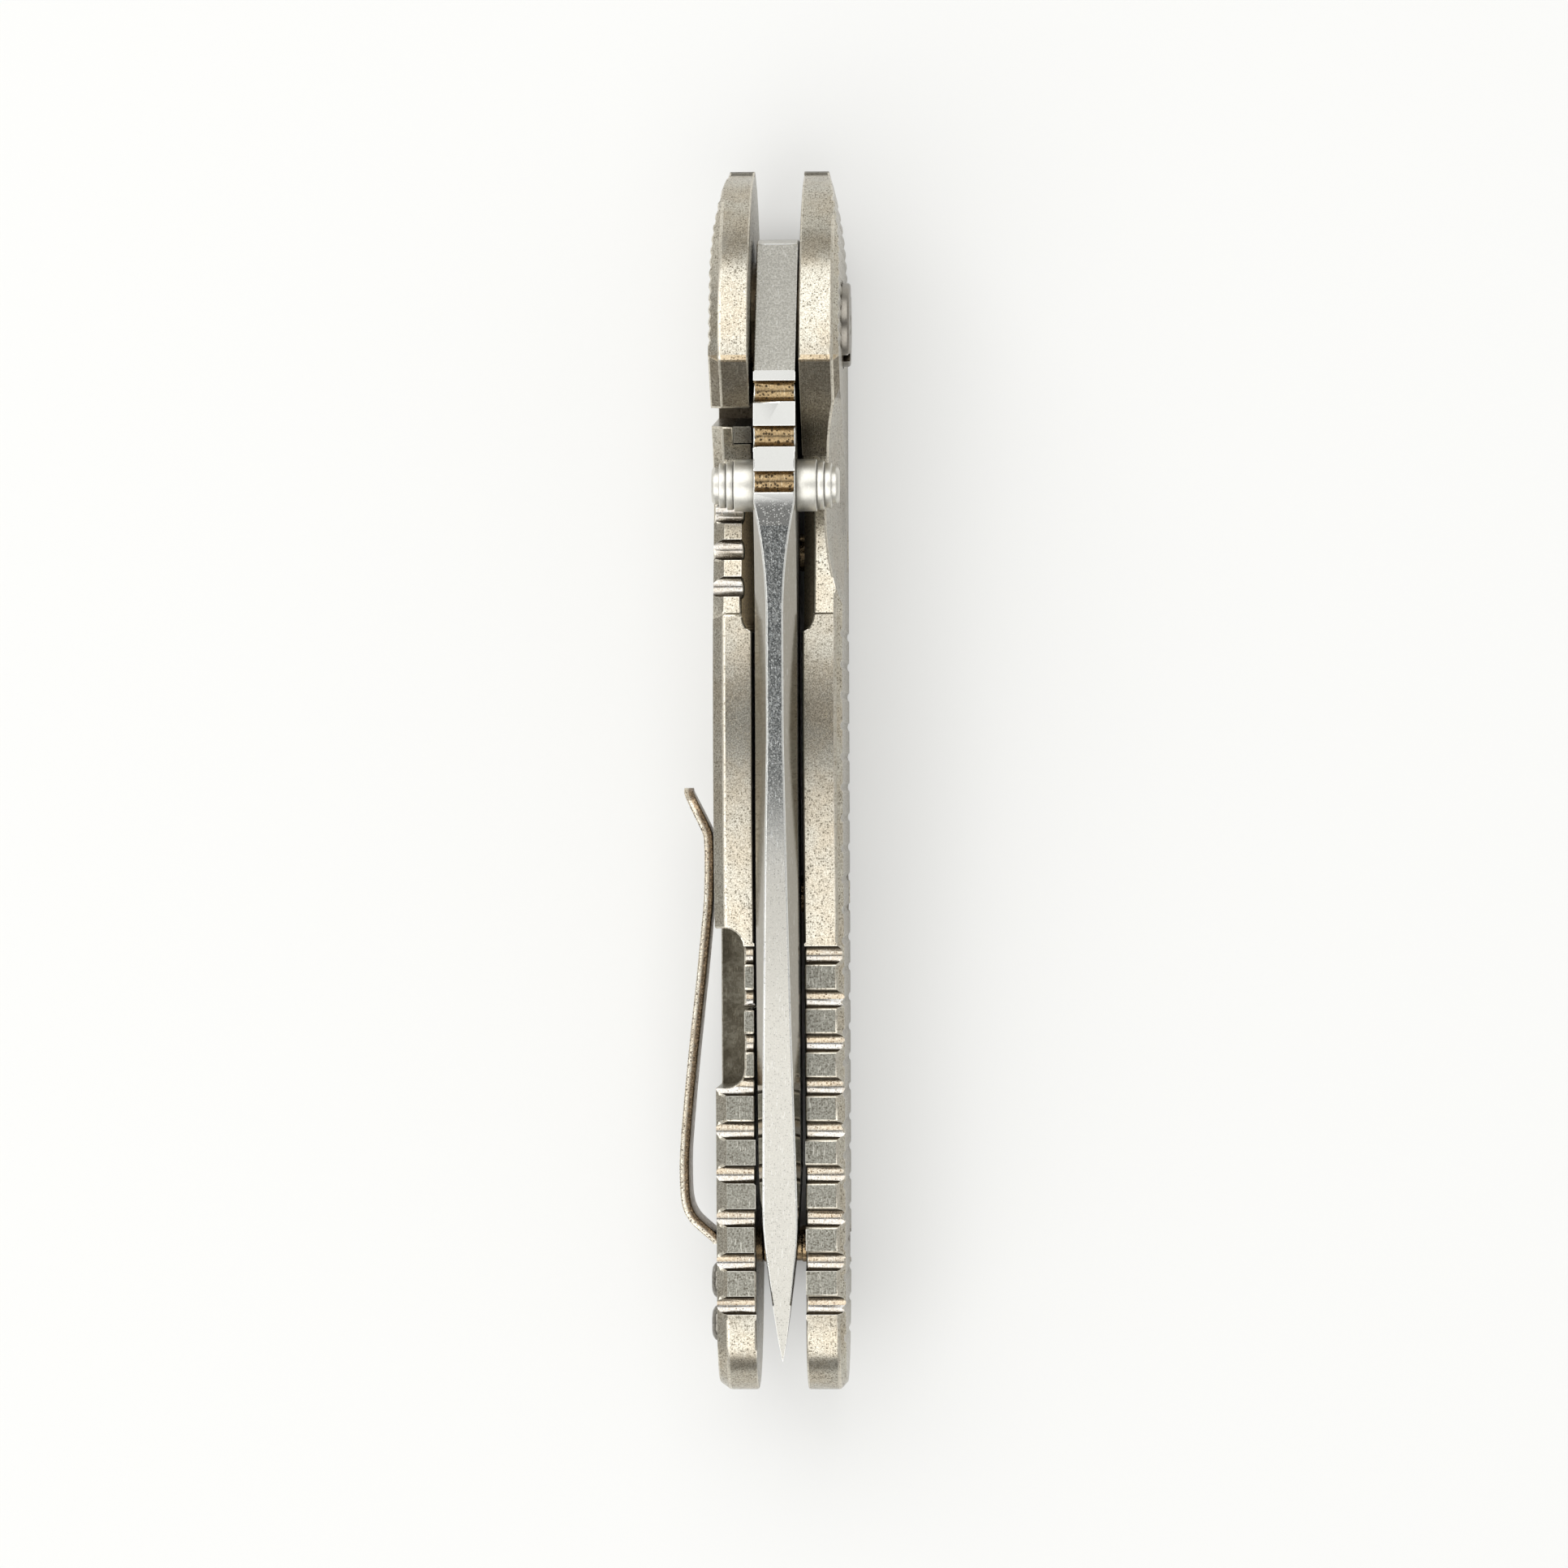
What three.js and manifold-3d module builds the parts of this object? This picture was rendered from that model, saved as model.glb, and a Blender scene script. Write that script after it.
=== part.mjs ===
// A folding pocket knife with a frame lock, closed and standing on the flat back of its handle.
// All sizes are millimetres. Inside the knife's group the origin lies on the pivot axis in the
// middle of the blade: X runs across the handle, from the lock side (-) to the show side (+),
// Y runs along it towards the nose, and Z points up, out of the side that the blade opens from.

import * as THREE from 'three';
import { mergeVertices } from 'three/addons/utils/BufferGeometryUtils.js';
import Module from 'manifold-3d';

const wasm = await Module();
wasm.setup();

// ---------------------------------------------------------------- driving dimensions

const bladeThickness = 4.2;
const washerThickness = 0.4;
const runningClearance = 0.03;
const slabThickness = 4.0;
const fitClearance = 0.2;
const seatClearance = 0.1;

const pivotHeight = 15.7;
const noseLowerRadius = 14.0;
const noseLip = { y: 15.95, z: -3.6 };
const noseLipRadius = 2.0;
const showSideChamfer = 0.7;
const lockSideChamfer = 1.1;
const chamferDrop = 0.8;

const backFront = 3.6;
const noseCorner = { y: 15.4, z: -2.1 };
const crownRadius = 22.2;
const guardCorner = { y: -3.9, z: 15.3 };
const guardEdge = { back: 0.68, down: 0.36, radius: 1.0 };
const rampFoot = { y: -13.6, z: 5.9 };
const scoopDepth = 2.2;
const scoopEntry = 2.7;
const scoopMiddle = 0.55;
const scoopRise = 0.6;
const shoulder = { y: -29.6, z: 7.4 };
const shoulderStep = { ahead: 0.22, down: 0.28 };
const bellyRadius = 85;
const bellyEnd = { y: -62.6, z: 5.85 };
const gripEaseBend = { y: -0.9, z: -0.2 };
const gripEaseEnd = { y: -2.2, z: -0.28 };
const gripEnd = { y: -101.0, z: 4.4 };
const tailRadius = 7.45;
const backRear = -90;
const tailFullness = 0.6;
const cheekLength = 11.8;
const cheekDepth = 1.5;
const cheekPower = 2.2;

const gripGrooveCount = 9;
const gripGroovePitch = 4.43;
const gripGrooveFirst = -63.95;
const gripGrooveRadius = 0.95;
const gripGrooveSink = 0.1;

const scallopRadius = 26;
const scallopDepth = 1.7;
const scallopTilt = 10;
const scallopCentre = -18.8;

const reliefWidth = 1.15;
const reliefDepth = 4.5;
const reliefFront = -15.0;
const reliefRear = -29.0;
const reliefEndLength = 2.3;

const textureFirst = -31.5;
const texturePitch = 3.1;
const textureCount = 24;
const textureRadius = 0.6;
const textureDepth = 0.22;
const noseTextureCount = 13;
const noseTextureFirst = 12.6;
const noseTexturePitch = 1.25;
const noseTextureDepth = 0.14;
const noseTextureRadius = 0.7;

const lockFaceFoot = -9.1;
const lockFaceLean = 0.11;
const lockSlotWidth = 2.0;
const lockBarFloor = -5.9;
const lockBarUnderCut = 1.0;
const flexureCentre = -69.3;
const flexureLength = 16.2;
const flexureWeb = 1.05;
const flexureCornerRadius = 2.0;
const flexureGap = 0.3;
const slotEndRadius = 1.3;
const thumbGrooveCount = 3;
const thumbGrooveFirst = -19.2;
const thumbGroovePitch = 3.75;
const thumbGrooveRadius = 1.1;
const thumbGrooveSink = 0.1;
const insertThickness = 1.8;
const insertTopWidth = 2.2;
const insertFootWidth = 4.4;
const insertShelf = 3.0;
const insertShelfFall = 2.2;
const insertFootRise = 1.0;
const insertScrewRise = 3.1;
const insertScrewRadius = 0.9;
const insertScrewHeadRadius = 1.5;
const insertScrewHeadHeight = 0.8;
const insertScrewEdge = 0.1;
const insertSocketRadius = 0.8;
const insertSocketDepth = 0.5;
const insertScrewLength = 3.4;
const insertScrewSink = 0.05;
const detentBallRadius = 0.8;
const detentBallProud = 0.3;
const detentInset = 2.6;

const tangRadius = 8.7;
const tangClearance = 0.5;
const tangRampStart = 22;
const tangRampEnd = { y: -5.3, z: 12.6 };
const heelShoulder = -2.35;
const heelSpread = 22;
const heelRelief = 1.26;
const ricassoFloor = -9.7;
const spineStart = { y: -18.3, z: 14.6 };
const spineKnee = { y: -46.0, z: 14.5 };
const spineReach = 20.0;
const bladeTip = { y: -105.4, z: 0.8 };
const tipSpineRise = { along: 22.0, up: 9.0 };
const tipEdgeFall = { along: 10.0, down: 5.0 };
const edgeBelly = { y: -76.0, z: -9.2 };
const edgeBellyReach = { along: 12.0, up: 0.8 };
const edgeStart = -14.0;
const plungeLength = 4.5;
const edgeHalfWidth = 0.2;
const grindHeight = 12.5;
const swedgeFlat = 0.82;
const swedgeRun = 11.7;
const swedgeGrowthStart = -42;
const swedgeGrowth = 0.0193;
const swedgeSlope = 2.3;
const tipThickness = 3.5;
const tipTaperLength = 13.0;
const tipTaperPower = 0.8;
const tipBlend = 7.0;
const choilRadius = 1.0;
const spineGrooveCount = 3;
const spineGrooveFirst = -7.35;
const spineGroovePitch = 4.55;
const spineGrooveRadius = 1.1;
const spineGrooveSink = -0.2;
const detentDimple = 0.4;

const studY = -16.7;
const studZ = 9.9;
const studRadius = 2.62;
const studBaseLength = 2.05;
const studRingLength = 0.68;
const studGrooveWidth = 0.07;
const studRingStep = 0.18;
const studGrooveDepth = 0.36;
const studTipRadius = 1.85;
const studTipLength = 0.68;
const studTipRim = 0.35;
const studShankRadius = 1.2;
const studSocketRadius = 1.4;
const studWall = 0.5;

const barrelRadius = 3.2;
const barrelBore = 1.85;
const pivotHeadRadius = 4.25;
const pivotHeadProudShow = 0.75;
const pivotHeadProudLock = 0.35;
const pivotHeadSink = 1.0;
const pivotShankRadius = 1.6;
const pivotHeadChamfer = 0.3;
const pivotSocketRadius = 1.7;
const pivotSocketDepth = 1.1;
const washerRadius = 6.4;
const notchWidth = 1.1;
const notchDepth = 0.7;
const notchAngles = [147, 327];

const stopPinRadius = 1.6;
const stopPinOffset = -0.5;
const stopPinSeat = 1.8;

const standoffRadius = 1.9;
const standoffHeight = 3.0;
const standoffPlaces = { front: -22.7, middle: -58.0, rear: -94.2 };
const standoffBore = 1.05;
const screwShankRadius = 0.85;
const screwHeadRadius = 2.0;
const screwHeadHeight = 1.2;
const screwHeadEdge = 0.2;
const screwSink = 0.1;
const screwReach = 2.0;
const socketRadius = 0.95;
const socketDepth = 0.7;

const clipThickness = 1.0;
const clipWidth = 8.0;
const clipTipWidth = 5.6;
const clipHeight = -4.6;
const clipTabFront = -93.8;
const clipTabLength = 11.4;
const clipPocketLead = 2.0;
const clipHingeGap = 0.3;
const clipContactGap = 0.32;
const clipContactReach = 38.5;
const clipPeak = 3.5;
const clipPeakReach = 7.0;
const clipTipRise = 3.2;
const clipTipReach = 46.6;
const clipTipShoulder = 4.0;
const clipTipOver = 1.0;
const clipScrewInsets = { front: 3.6, rear: 8.0 };
const clipScrewHeadRadius = 1.8;
const clipScrewHeadHeight = 1.1;
const clipScrewRim = 0.35;
const clipScrewShank = 1.0;
const clipScrewDepth = 2.4;
const clipSocketDepth = 0.6;

// Points of the clip's bent line, each as a share of the way along a stretch and a share of
// that stretch's rise: from the tab to the peak, down to the contact, and up to the tip.
const clipHeel = [[0, -0.13], [0.17, 0.2], [0.39, 0.72], [0.64, 0.95]];
const clipRun = [[0.1, 0.02], [0.3, 0.22], [0.49, 0.45], [0.67, 0.68], [0.81, 0.84], [0.92, 0.95]];
const clipLift = [[0.36, 0.05], [0.56, 0.27], [0.77, 0.62]];

// ---------------------------------------------------------------- sizes that follow

const bladeFace = bladeThickness / 2;
const stopPinDistance = tangRadius + tangClearance + stopPinRadius;
const heelRadius = stopPinDistance + stopPinRadius;
const innerFace = bladeFace + washerThickness + runningClearance;
const outerFace = innerFace + slabThickness;
const back = -pivotHeight;
const showSide = 1;
const lockSide = -1;
const farAway = 60;
const past = 1;
const fineSteps = 36;
const roundSteps = 24;
const smallSteps = 16;

// ---------------------------------------------------------------- finishes

const finishes = {
  titanium: { color: 0xa39e91, roughness: 0.48, metalness: 0.9 },
  blade: { color: 0xb9bab6, roughness: 0.32, metalness: 1.0 },
  polished: { color: 0xd4d3cd, roughness: 0.15, metalness: 1.0 },
  steel: { color: 0x9c9b97, roughness: 0.35, metalness: 1.0 },
  bronze: { color: 0x9a7446, roughness: 0.4, metalness: 1.0 },
  clip: { color: 0x7d6a52, roughness: 0.42, metalness: 0.9 },
};

// ---------------------------------------------------------------- solids and placing

// The closed solid of a geometry, with shared corners merged and collapsed faces left out.
function solidOf(geometry) {
  const bare = geometry.clone();
  bare.deleteAttribute('normal');
  bare.deleteAttribute('uv');
  const merged = mergeVertices(bare, 1e-5);
  const corners = merged.index.array;
  const faces = [];
  for (let i = 0; i < corners.length; i += 3) {
    const [a, b, c] = [corners[i], corners[i + 1], corners[i + 2]];
    if (a !== b && b !== c && c !== a) faces.push(a, b, c);
  }
  return new wasm.Manifold(new wasm.Mesh({
    numProp: 3,
    vertProperties: new Float32Array(merged.attributes.position.array),
    triVerts: new Uint32Array(faces),
  }));
}

function geometryOf(solid) {
  const mesh = solid.getMesh();
  const geometry = new THREE.BufferGeometry();
  geometry.setAttribute('position', new THREE.BufferAttribute(mesh.vertProperties, 3));
  geometry.setIndex(new THREE.BufferAttribute(mesh.triVerts, 1));
  geometry.computeVertexNormals();
  return geometry;
}

const cutAll = (solid, cutters) => cutters.reduce((rest, cutter) => rest.subtract(cutter), solid);

const knife = new THREE.Group();

function addPiece(name, solid, finish) {
  const material = new THREE.MeshStandardMaterial({ ...finish, flatShading: true });
  const mesh = new THREE.Mesh(geometryOf(solid), material);
  mesh.name = name;
  knife.add(mesh);
}

// ---------------------------------------------------------------- basic shapes

const at = (y, z) => new THREE.Vector2(y, z);
const radians = THREE.MathUtils.degToRad;

// Turns a profile drawn in (Y, Z) and extruded along its own normal so that it runs along X.
const profileToX = new THREE.Matrix4().makeBasis(
  new THREE.Vector3(0, 1, 0), new THREE.Vector3(0, 0, 1), new THREE.Vector3(1, 0, 0));

// A plate with the given (Y, Z) outline from x0 to x1.
function plate(points, x0, x1) {
  const shape = new THREE.Shape(points);
  const geometry = new THREE.ExtrudeGeometry(shape, { depth: x1 - x0, bevelEnabled: false });
  return solidOf(geometry.applyMatrix4(profileToX).translate(x0, 0, 0));
}

// An upright prism with the given (X, Y) outline from z0 to z1.
function prism(points, z0, z1) {
  const shape = new THREE.Shape(points);
  const geometry = new THREE.ExtrudeGeometry(shape, { depth: z1 - z0, bevelEnabled: false });
  return solidOf(geometry.translate(0, 0, z0));
}

function block(x0, x1, y0, y1, z0, z1) {
  const geometry = new THREE.BoxGeometry(x1 - x0, y1 - y0, z1 - z0);
  return solidOf(geometry.translate((x0 + x1) / 2, (y0 + y1) / 2, (z0 + z1) / 2));
}

// A solid of revolution about the X direction through (y, z). The profile is a list of
// [radius, x] from its first end to its last, and the side mirrors it across the blade.
function turned(profile, y, z, side = showSide, steps = roundSteps) {
  const points = profile.map(([radius, x]) => new THREE.Vector2(radius, x));
  const geometry = new THREE.LatheGeometry(points, steps);
  geometry.rotateZ(side * -Math.PI / 2);
  return solidOf(geometry.translate(0, y, z));
}

// A round bar or hole cutter along X between two distances from the blade's middle.
function rod(radius, x0, x1, y, z, steps = roundSteps) {
  const low = Math.min(x0, x1);
  const high = Math.max(x0, x1);
  return turned([[0, low], [radius, low], [radius, high], [0, high]], y, z, showSide, steps);
}

// Points on the arc of a radius from one point to another, without the first one. A positive
// radius bulges to the right of the way travelled, a negative one to the left.
function arcTo(from, to, radius, steps) {
  const chord = to.clone().sub(from);
  const half = chord.length() / 2;
  const rise = Math.sqrt(Math.max(radius * radius - half * half, 0));
  const left = at(-chord.y, chord.x).normalize();
  const centre = from.clone().add(to).multiplyScalar(0.5);
  centre.add(left.multiplyScalar(Math.sign(radius) * rise));
  const start = from.clone().sub(centre).angle();
  const turn = Math.sign(radius) * 2 * Math.asin(Math.min(half / Math.abs(radius), 1));
  return Array.from({ length: steps }, (_, i) => {
    const angle = start + turn * (i + 1) / steps;
    return at(Math.cos(angle), Math.sin(angle)).multiplyScalar(Math.abs(radius)).add(centre);
  });
}

// Height of a line of points at a given place along the knife.
function heightOn(points, y) {
  const sorted = [...points].sort((a, b) => a.x - b.x);
  const next = Math.max(1, sorted.findIndex((point) => point.x >= y));
  const [a, b] = [sorted[next - 1], sorted[next]];
  return a.y + (b.y - a.y) * (y - a.x) / (b.x - a.x);
}

// ---------------------------------------------------------------- handle outline

// The opening side of the handle, from the nose's upper corner back to the tail: crown, guard,
// thumb ramp and scoop, belly and the straight rear grip.
function handleTopLine() {
  const nose = at(noseCorner.y, noseCorner.z);
  const guard = at(guardCorner.y, guardCorner.z);
  const foot = at(rampFoot.y, rampFoot.z);
  const rear = at(shoulder.y, shoulder.z);
  const bellyLast = at(bellyEnd.y, bellyEnd.z);
  const scoop = new THREE.CubicBezierCurve(
    foot,
    at(foot.x - scoopEntry, foot.y - scoopDepth),
    at(THREE.MathUtils.lerp(foot.x, rear.x, scoopMiddle), foot.y - scoopDepth * scoopRise),
    at(rear.x + shoulderStep.ahead, rear.y - shoulderStep.down));
  const ease = new THREE.QuadraticBezierCurve(
    bellyLast,
    at(bellyLast.x + gripEaseBend.y, bellyLast.y + gripEaseBend.z),
    at(bellyLast.x + gripEaseEnd.y, bellyLast.y + gripEaseEnd.z));
  return [
    nose,
    ...arcTo(nose, guard, crownRadius, 20),
    ...arcTo(guard, at(guard.x - guardEdge.back, guard.y - guardEdge.down), guardEdge.radius, 3),
    ...scoop.getPoints(11),
    rear,
    ...arcTo(rear, bellyLast, bellyRadius, 12),
    ...ease.getPoints(3).slice(1),
    at(gripEnd.y, gripEnd.z),
  ];
}

const topLine = handleTopLine();
const topAt = (y) => heightOn(topLine, y);

function handleOutline() {
  const front = at(backFront, back);
  const lip = at(noseLip.y, noseLip.z);
  const tail = at(gripEnd.y - tailRadius, gripEnd.z - tailRadius);
  const tailCurve = new THREE.CubicBezierCurve(
    tail,
    at(tail.x, THREE.MathUtils.lerp(tail.y, back, tailFullness)),
    at(THREE.MathUtils.lerp(backRear, tail.x, tailFullness), back),
    at(backRear, back));
  return [
    front,
    ...arcTo(front, lip, noseLowerRadius, 14),
    ...arcTo(lip, topLine[0], noseLipRadius, 3),
    ...topLine.slice(1),
    ...arcTo(at(gripEnd.y, gripEnd.z), tail, tailRadius, 12),
    ...tailCurve.getPoints(14).slice(1),
  ];
}

const outline = handleOutline();
const noseTip = Math.max(...outline.map((point) => point.x));
const tailTip = Math.min(...outline.map((point) => point.x));

// ---------------------------------------------------------------- handle slabs

// One slab with its outer edge chamfered all round: the outline is extruded to twice the
// thickness with both edges chamfered, and the half beyond the inner face is kept.
function slabBlank(side, chamfer) {
  const straight = slabThickness - chamfer;
  const geometry = new THREE.ExtrudeGeometry(new THREE.Shape(outline), {
    depth: 2 * straight,
    bevelEnabled: true,
    bevelThickness: chamfer,
    bevelSize: chamferDrop,
    bevelOffset: -chamferDrop,
    bevelSegments: 1,
  });
  geometry.translate(0, 0, -straight);
  geometry.applyMatrix4(profileToX).translate(side * innerFace, 0, 0);
  const far = innerFace + 2 * slabThickness;
  const [x0, x1] = side > 0 ? [innerFace, far] : [-far, -innerFace];
  return solidOf(geometry).intersect(block(x0, x1, -3 * farAway, farAway, -farAway, farAway));
}

// How far the outer face has fallen back at a place, ever faster towards the nose.
const cheekStart = noseTip - cheekLength;
const cheekFall = (y) => cheekDepth * (Math.max(y - cheekStart, 0) / cheekLength) ** cheekPower;

// The curved cut that slims the slab's outer face towards the nose.
function cheekCutter(side) {
  const steps = 9;
  const curve = Array.from({ length: steps + 1 }, (_, i) => {
    const y = cheekStart + cheekLength * i / steps;
    return at(side * (outerFace - cheekFall(y)), y);
  });
  return prism([
    ...curve,
    at(side * (outerFace - cheekDepth), farAway),
    at(side * (outerFace + farAway), farAway),
    at(side * (outerFace + farAway), cheekStart),
  ], -farAway, farAway);
}

const gripGroovePlaces = Array.from(
  { length: gripGrooveCount }, (_, i) => gripGrooveFirst - i * gripGroovePitch);

function gripGrooves(side) {
  return gripGroovePlaces.map((y) => rod(
    gripGrooveRadius, side * (innerFace - past), side * (outerFace + past),
    y, topAt(y) + gripGrooveSink, smallSteps));
}

// The slanted relief along the scoop's inner edge: its wall leans away from the blade as it
// rises, follows the edge at the same depth, and runs out in a rounded rear end.
function scoopRelief(side) {
  const steps = 8;
  const rearEnd = reliefRear - reliefEndLength;
  const spread = (y) => {
    const run = THREE.MathUtils.clamp((reliefRear - y) / reliefEndLength, 0, 1);
    return reliefWidth * Math.sqrt(1 - run ** 2);
  };
  const straight = Array.from({ length: steps }, (_, i) => (
    THREE.MathUtils.lerp(reliefFront, reliefRear, i / steps)));
  const round = Array.from({ length: steps + 1 }, (_, i) => (
    THREE.MathUtils.lerp(reliefRear, rearEnd, Math.sin((Math.PI / 2) * i / steps))));
  return loft([...straight, ...round], (y) => {
    const foot = topAt(y) - reliefDepth;
    const wall = innerFace + spread(y) * (1 + past / reliefDepth);
    const corners = [
      at(0, foot),
      at(side * innerFace, foot),
      at(side * wall, topAt(y) + past),
      at(0, topAt(y) + past),
    ];
    return side > 0 ? corners : corners.reverse();
  });
}

// The thumb scallop of the show side: a wide cylinder, leaning inwards at the top.
function thumbScallop() {
  const lean = radians(scallopTilt);
  const geometry = new THREE.CylinderGeometry(scallopRadius, scallopRadius, 2 * farAway, 110);
  geometry.rotateX(Math.PI / 2).rotateY(-lean);
  geometry.translate(
    outerFace - scallopDepth + scallopRadius * Math.cos(lean),
    scallopCentre,
    topAt(scallopCentre) + scallopRadius * Math.sin(lean));
  return solidOf(geometry);
}

// Upright shallow grooves milled across an outer face.
function textureGrooves(side, { first, count, pitch, radius, depth }) {
  return Array.from({ length: count }, (_, i) => {
    const y = first - i * pitch;
    const geometry = new THREE.CylinderGeometry(radius, radius, farAway, 12);
    geometry.rotateX(Math.PI / 2);
    return solidOf(geometry.translate(side * (outerFace - cheekFall(y) + radius - depth), y, 0));
  });
}

const sideTexture = {
  first: textureFirst,
  count: textureCount,
  pitch: texturePitch,
  radius: textureRadius,
  depth: textureDepth,
};
const noseTexture = {
  first: noseTextureFirst,
  count: noseTextureCount,
  pitch: noseTexturePitch,
  radius: noseTextureRadius,
  depth: noseTextureDepth,
};

// ---------------------------------------------------------------- pivot, pins and screws

const stopPinHeight = -Math.sqrt(stopPinDistance ** 2 - stopPinOffset ** 2);
const standoffZ = back + standoffHeight;
const standoffList = Object.entries(standoffPlaces);

const pivotSeat = outerFace - pivotHeadSink;

function pivotCutters(side) {
  return [
    rod(barrelRadius + fitClearance, 0, side * farAway, 0, 0, fineSteps),
    rod(pivotHeadRadius + fitClearance, side * pivotSeat, side * farAway, 0, 0, fineSteps),
  ];
}

function stopPinCutter() {
  const reach = innerFace + stopPinSeat + fitClearance;
  return rod(stopPinRadius + fitClearance, -reach, reach, stopPinOffset, stopPinHeight);
}

function standoffScrewCutters(side) {
  return standoffList.flatMap(([, y]) => [
    rod(screwShankRadius + fitClearance, 0, side * farAway, y, standoffZ, smallSteps),
    rod(screwHeadRadius + fitClearance, side * (outerFace - screwSink - screwHeadHeight),
      side * farAway, y, standoffZ),
  ]);
}

// A star-shaped driver recess, as two triangles turned against each other.
function driverSocket(x0, x1, y, z, radius) {
  const triangle = (turn) => {
    const geometry = new THREE.CylinderGeometry(radius, radius, Math.abs(x1 - x0), 3);
    geometry.rotateZ(-Math.PI / 2).rotateX(turn);
    return solidOf(geometry.translate((x0 + x1) / 2, y, z));
  };
  return triangle(0).add(triangle(Math.PI / 3));
}

// A cylinder-head screw with its head outwards; it starts at x0 and its head ends at x1.
function screw(side, x0, x1, head, y, z) {
  const profile = [
    [0, x0],
    [head.shank, x0],
    [head.shank, x1 - head.height],
    [head.radius, x1 - head.height],
    [head.radius, x1 - head.edge],
    [head.radius - head.edge, x1],
    [0, x1],
  ];
  const socket = driverSocket(
    side * (x1 - head.socketDepth), side * (x1 + past), y, z, head.socket);
  return turned(profile, y, z, side, head.steps).subtract(socket);
}

const standoffScrewHead = {
  shank: screwShankRadius,
  radius: screwHeadRadius,
  height: screwHeadHeight,
  edge: screwHeadEdge,
  socket: socketRadius,
  socketDepth,
  steps: smallSteps,
};
const insertScrewHead = {
  shank: insertScrewRadius,
  radius: insertScrewHeadRadius,
  height: insertScrewHeadHeight,
  edge: insertScrewEdge,
  socket: insertSocketRadius,
  socketDepth: insertSocketDepth,
  steps: smallSteps,
};

// A pivot screw: its chamfered head stands proud of the slab and has spanner notches in its rim.
function pivotScrew(side, proud) {
  const end = outerFace + proud;
  const head = {
    shank: pivotShankRadius,
    radius: pivotHeadRadius,
    height: end - pivotSeat,
    edge: pivotHeadChamfer,
    socket: pivotSocketRadius,
    socketDepth: pivotSocketDepth,
    steps: fineSteps,
  };
  const body = screw(side, runningClearance + fitClearance, end, head, 0, 0);
  const notches = notchAngles.map((angle) => {
    const geometry = new THREE.BoxGeometry(2 * proud, 2 * notchDepth, notchWidth);
    geometry.translate(side * end, pivotHeadRadius, 0).rotateX(radians(angle));
    return solidOf(geometry);
  });
  return cutAll(body, notches);
}

function addPivot() {
  const bore = rod(barrelBore, -farAway, farAway, 0, 0);
  const barrel = rod(barrelRadius, -pivotSeat, pivotSeat, 0, 0, fineSteps);
  addPiece('pivot_barrel', barrel.subtract(bore), finishes.steel);
  addPiece('pivot_screw_show_side', pivotScrew(showSide, pivotHeadProudShow), finishes.polished);
  addPiece('pivot_screw_lock_side', pivotScrew(lockSide, pivotHeadProudLock), finishes.polished);
  const opening = rod(barrelRadius + fitClearance, -farAway, farAway, 0, 0, fineSteps);
  for (const [side, name] of [[showSide, 'washer_show_side'], [lockSide, 'washer_lock_side']]) {
    const inner = side * (innerFace - washerThickness);
    const disc = rod(washerRadius, inner, side * innerFace, 0, 0, fineSteps);
    addPiece(name, disc.subtract(opening), finishes.bronze);
  }
}

function addPinsAndStandoffs() {
  const reach = innerFace + stopPinSeat;
  addPiece('stop_pin', rod(stopPinRadius, -reach, reach, stopPinOffset, stopPinHeight),
    finishes.steel);
  for (const [place, y] of standoffList) {
    const post = rod(standoffRadius, -innerFace, innerFace, y, standoffZ);
    const bore = rod(standoffBore, -farAway, farAway, y, standoffZ, smallSteps);
    addPiece(`standoff_${place}`, post.subtract(bore), finishes.bronze);
    for (const [side, word] of [[showSide, 'show'], [lockSide, 'lock']]) {
      const fastener = screw(side, innerFace - screwReach, outerFace - screwSink,
        standoffScrewHead, y, standoffZ);
      addPiece(`standoff_screw_${place}_${word}_side`, fastener, finishes.polished);
    }
  }
}

// ---------------------------------------------------------------- lock bar

// The line of the lock bar's front face: it leans back from its foot as it rises.
const lockFaceAt = (z) => lockFaceFoot - lockFaceLean * (z - lockBarFloor);

function lockBarRegion(front, under, rear) {
  return plate([
    at(lockFaceAt(lockBarFloor) + front, lockBarFloor - under),
    at(lockFaceAt(farAway) + front, farAway),
    at(flexureCentre - rear, farAway),
    at(flexureCentre - rear, lockBarFloor - under),
  ].reverse(), -farAway, 0);
}

// The pocket that thins the lock bar to a springy web, with rounded corners at its floor.
function flexurePocket() {
  const wall = -(innerFace + flexureWeb);
  const outside = -(outerFace + past);
  const front = flexureCentre + flexureLength / 2;
  const rear = flexureCentre - flexureLength / 2;
  const r = flexureCornerRadius;
  const frontCorner = arcTo(at(wall - r, front), at(wall, front - r), -r, 5);
  const rearCorner = arcTo(at(wall, rear + r), at(wall - r, rear), -r, 5);
  const points = [
    at(outside, front),
    at(wall - r, front),
    ...frontCorner,
    at(wall, rear + r),
    ...rearCorner,
    at(outside, rear),
  ];
  return prism(points, lockBarFloor - lockBarUnderCut - slotEndRadius, farAway);
}

function insertRegion(clearance) {
  const top = lockFaceAt(insertShelf);
  const foot = lockFaceAt(lockBarFloor);
  return plate([
    at(foot + past, lockBarFloor + insertFootRise - clearance),
    at(foot + past, farAway),
    at(top - insertTopWidth - clearance, farAway),
    at(top - insertTopWidth - clearance, insertShelf + clearance),
    at(foot - insertFootWidth - clearance, insertShelf - insertShelfFall + clearance),
    at(foot - insertFootWidth - clearance, lockBarFloor + insertFootRise - clearance),
  ].reverse(), -(innerFace + insertThickness), 0);
}

const insertScrewY = lockFaceAt(lockBarFloor) - insertFootWidth / 2;
const insertScrewZ = lockBarFloor + insertScrewRise;
const detentY = lockFaceAt(0) - detentInset;
const detentX = -(innerFace + detentBallRadius - detentBallProud);

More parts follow.
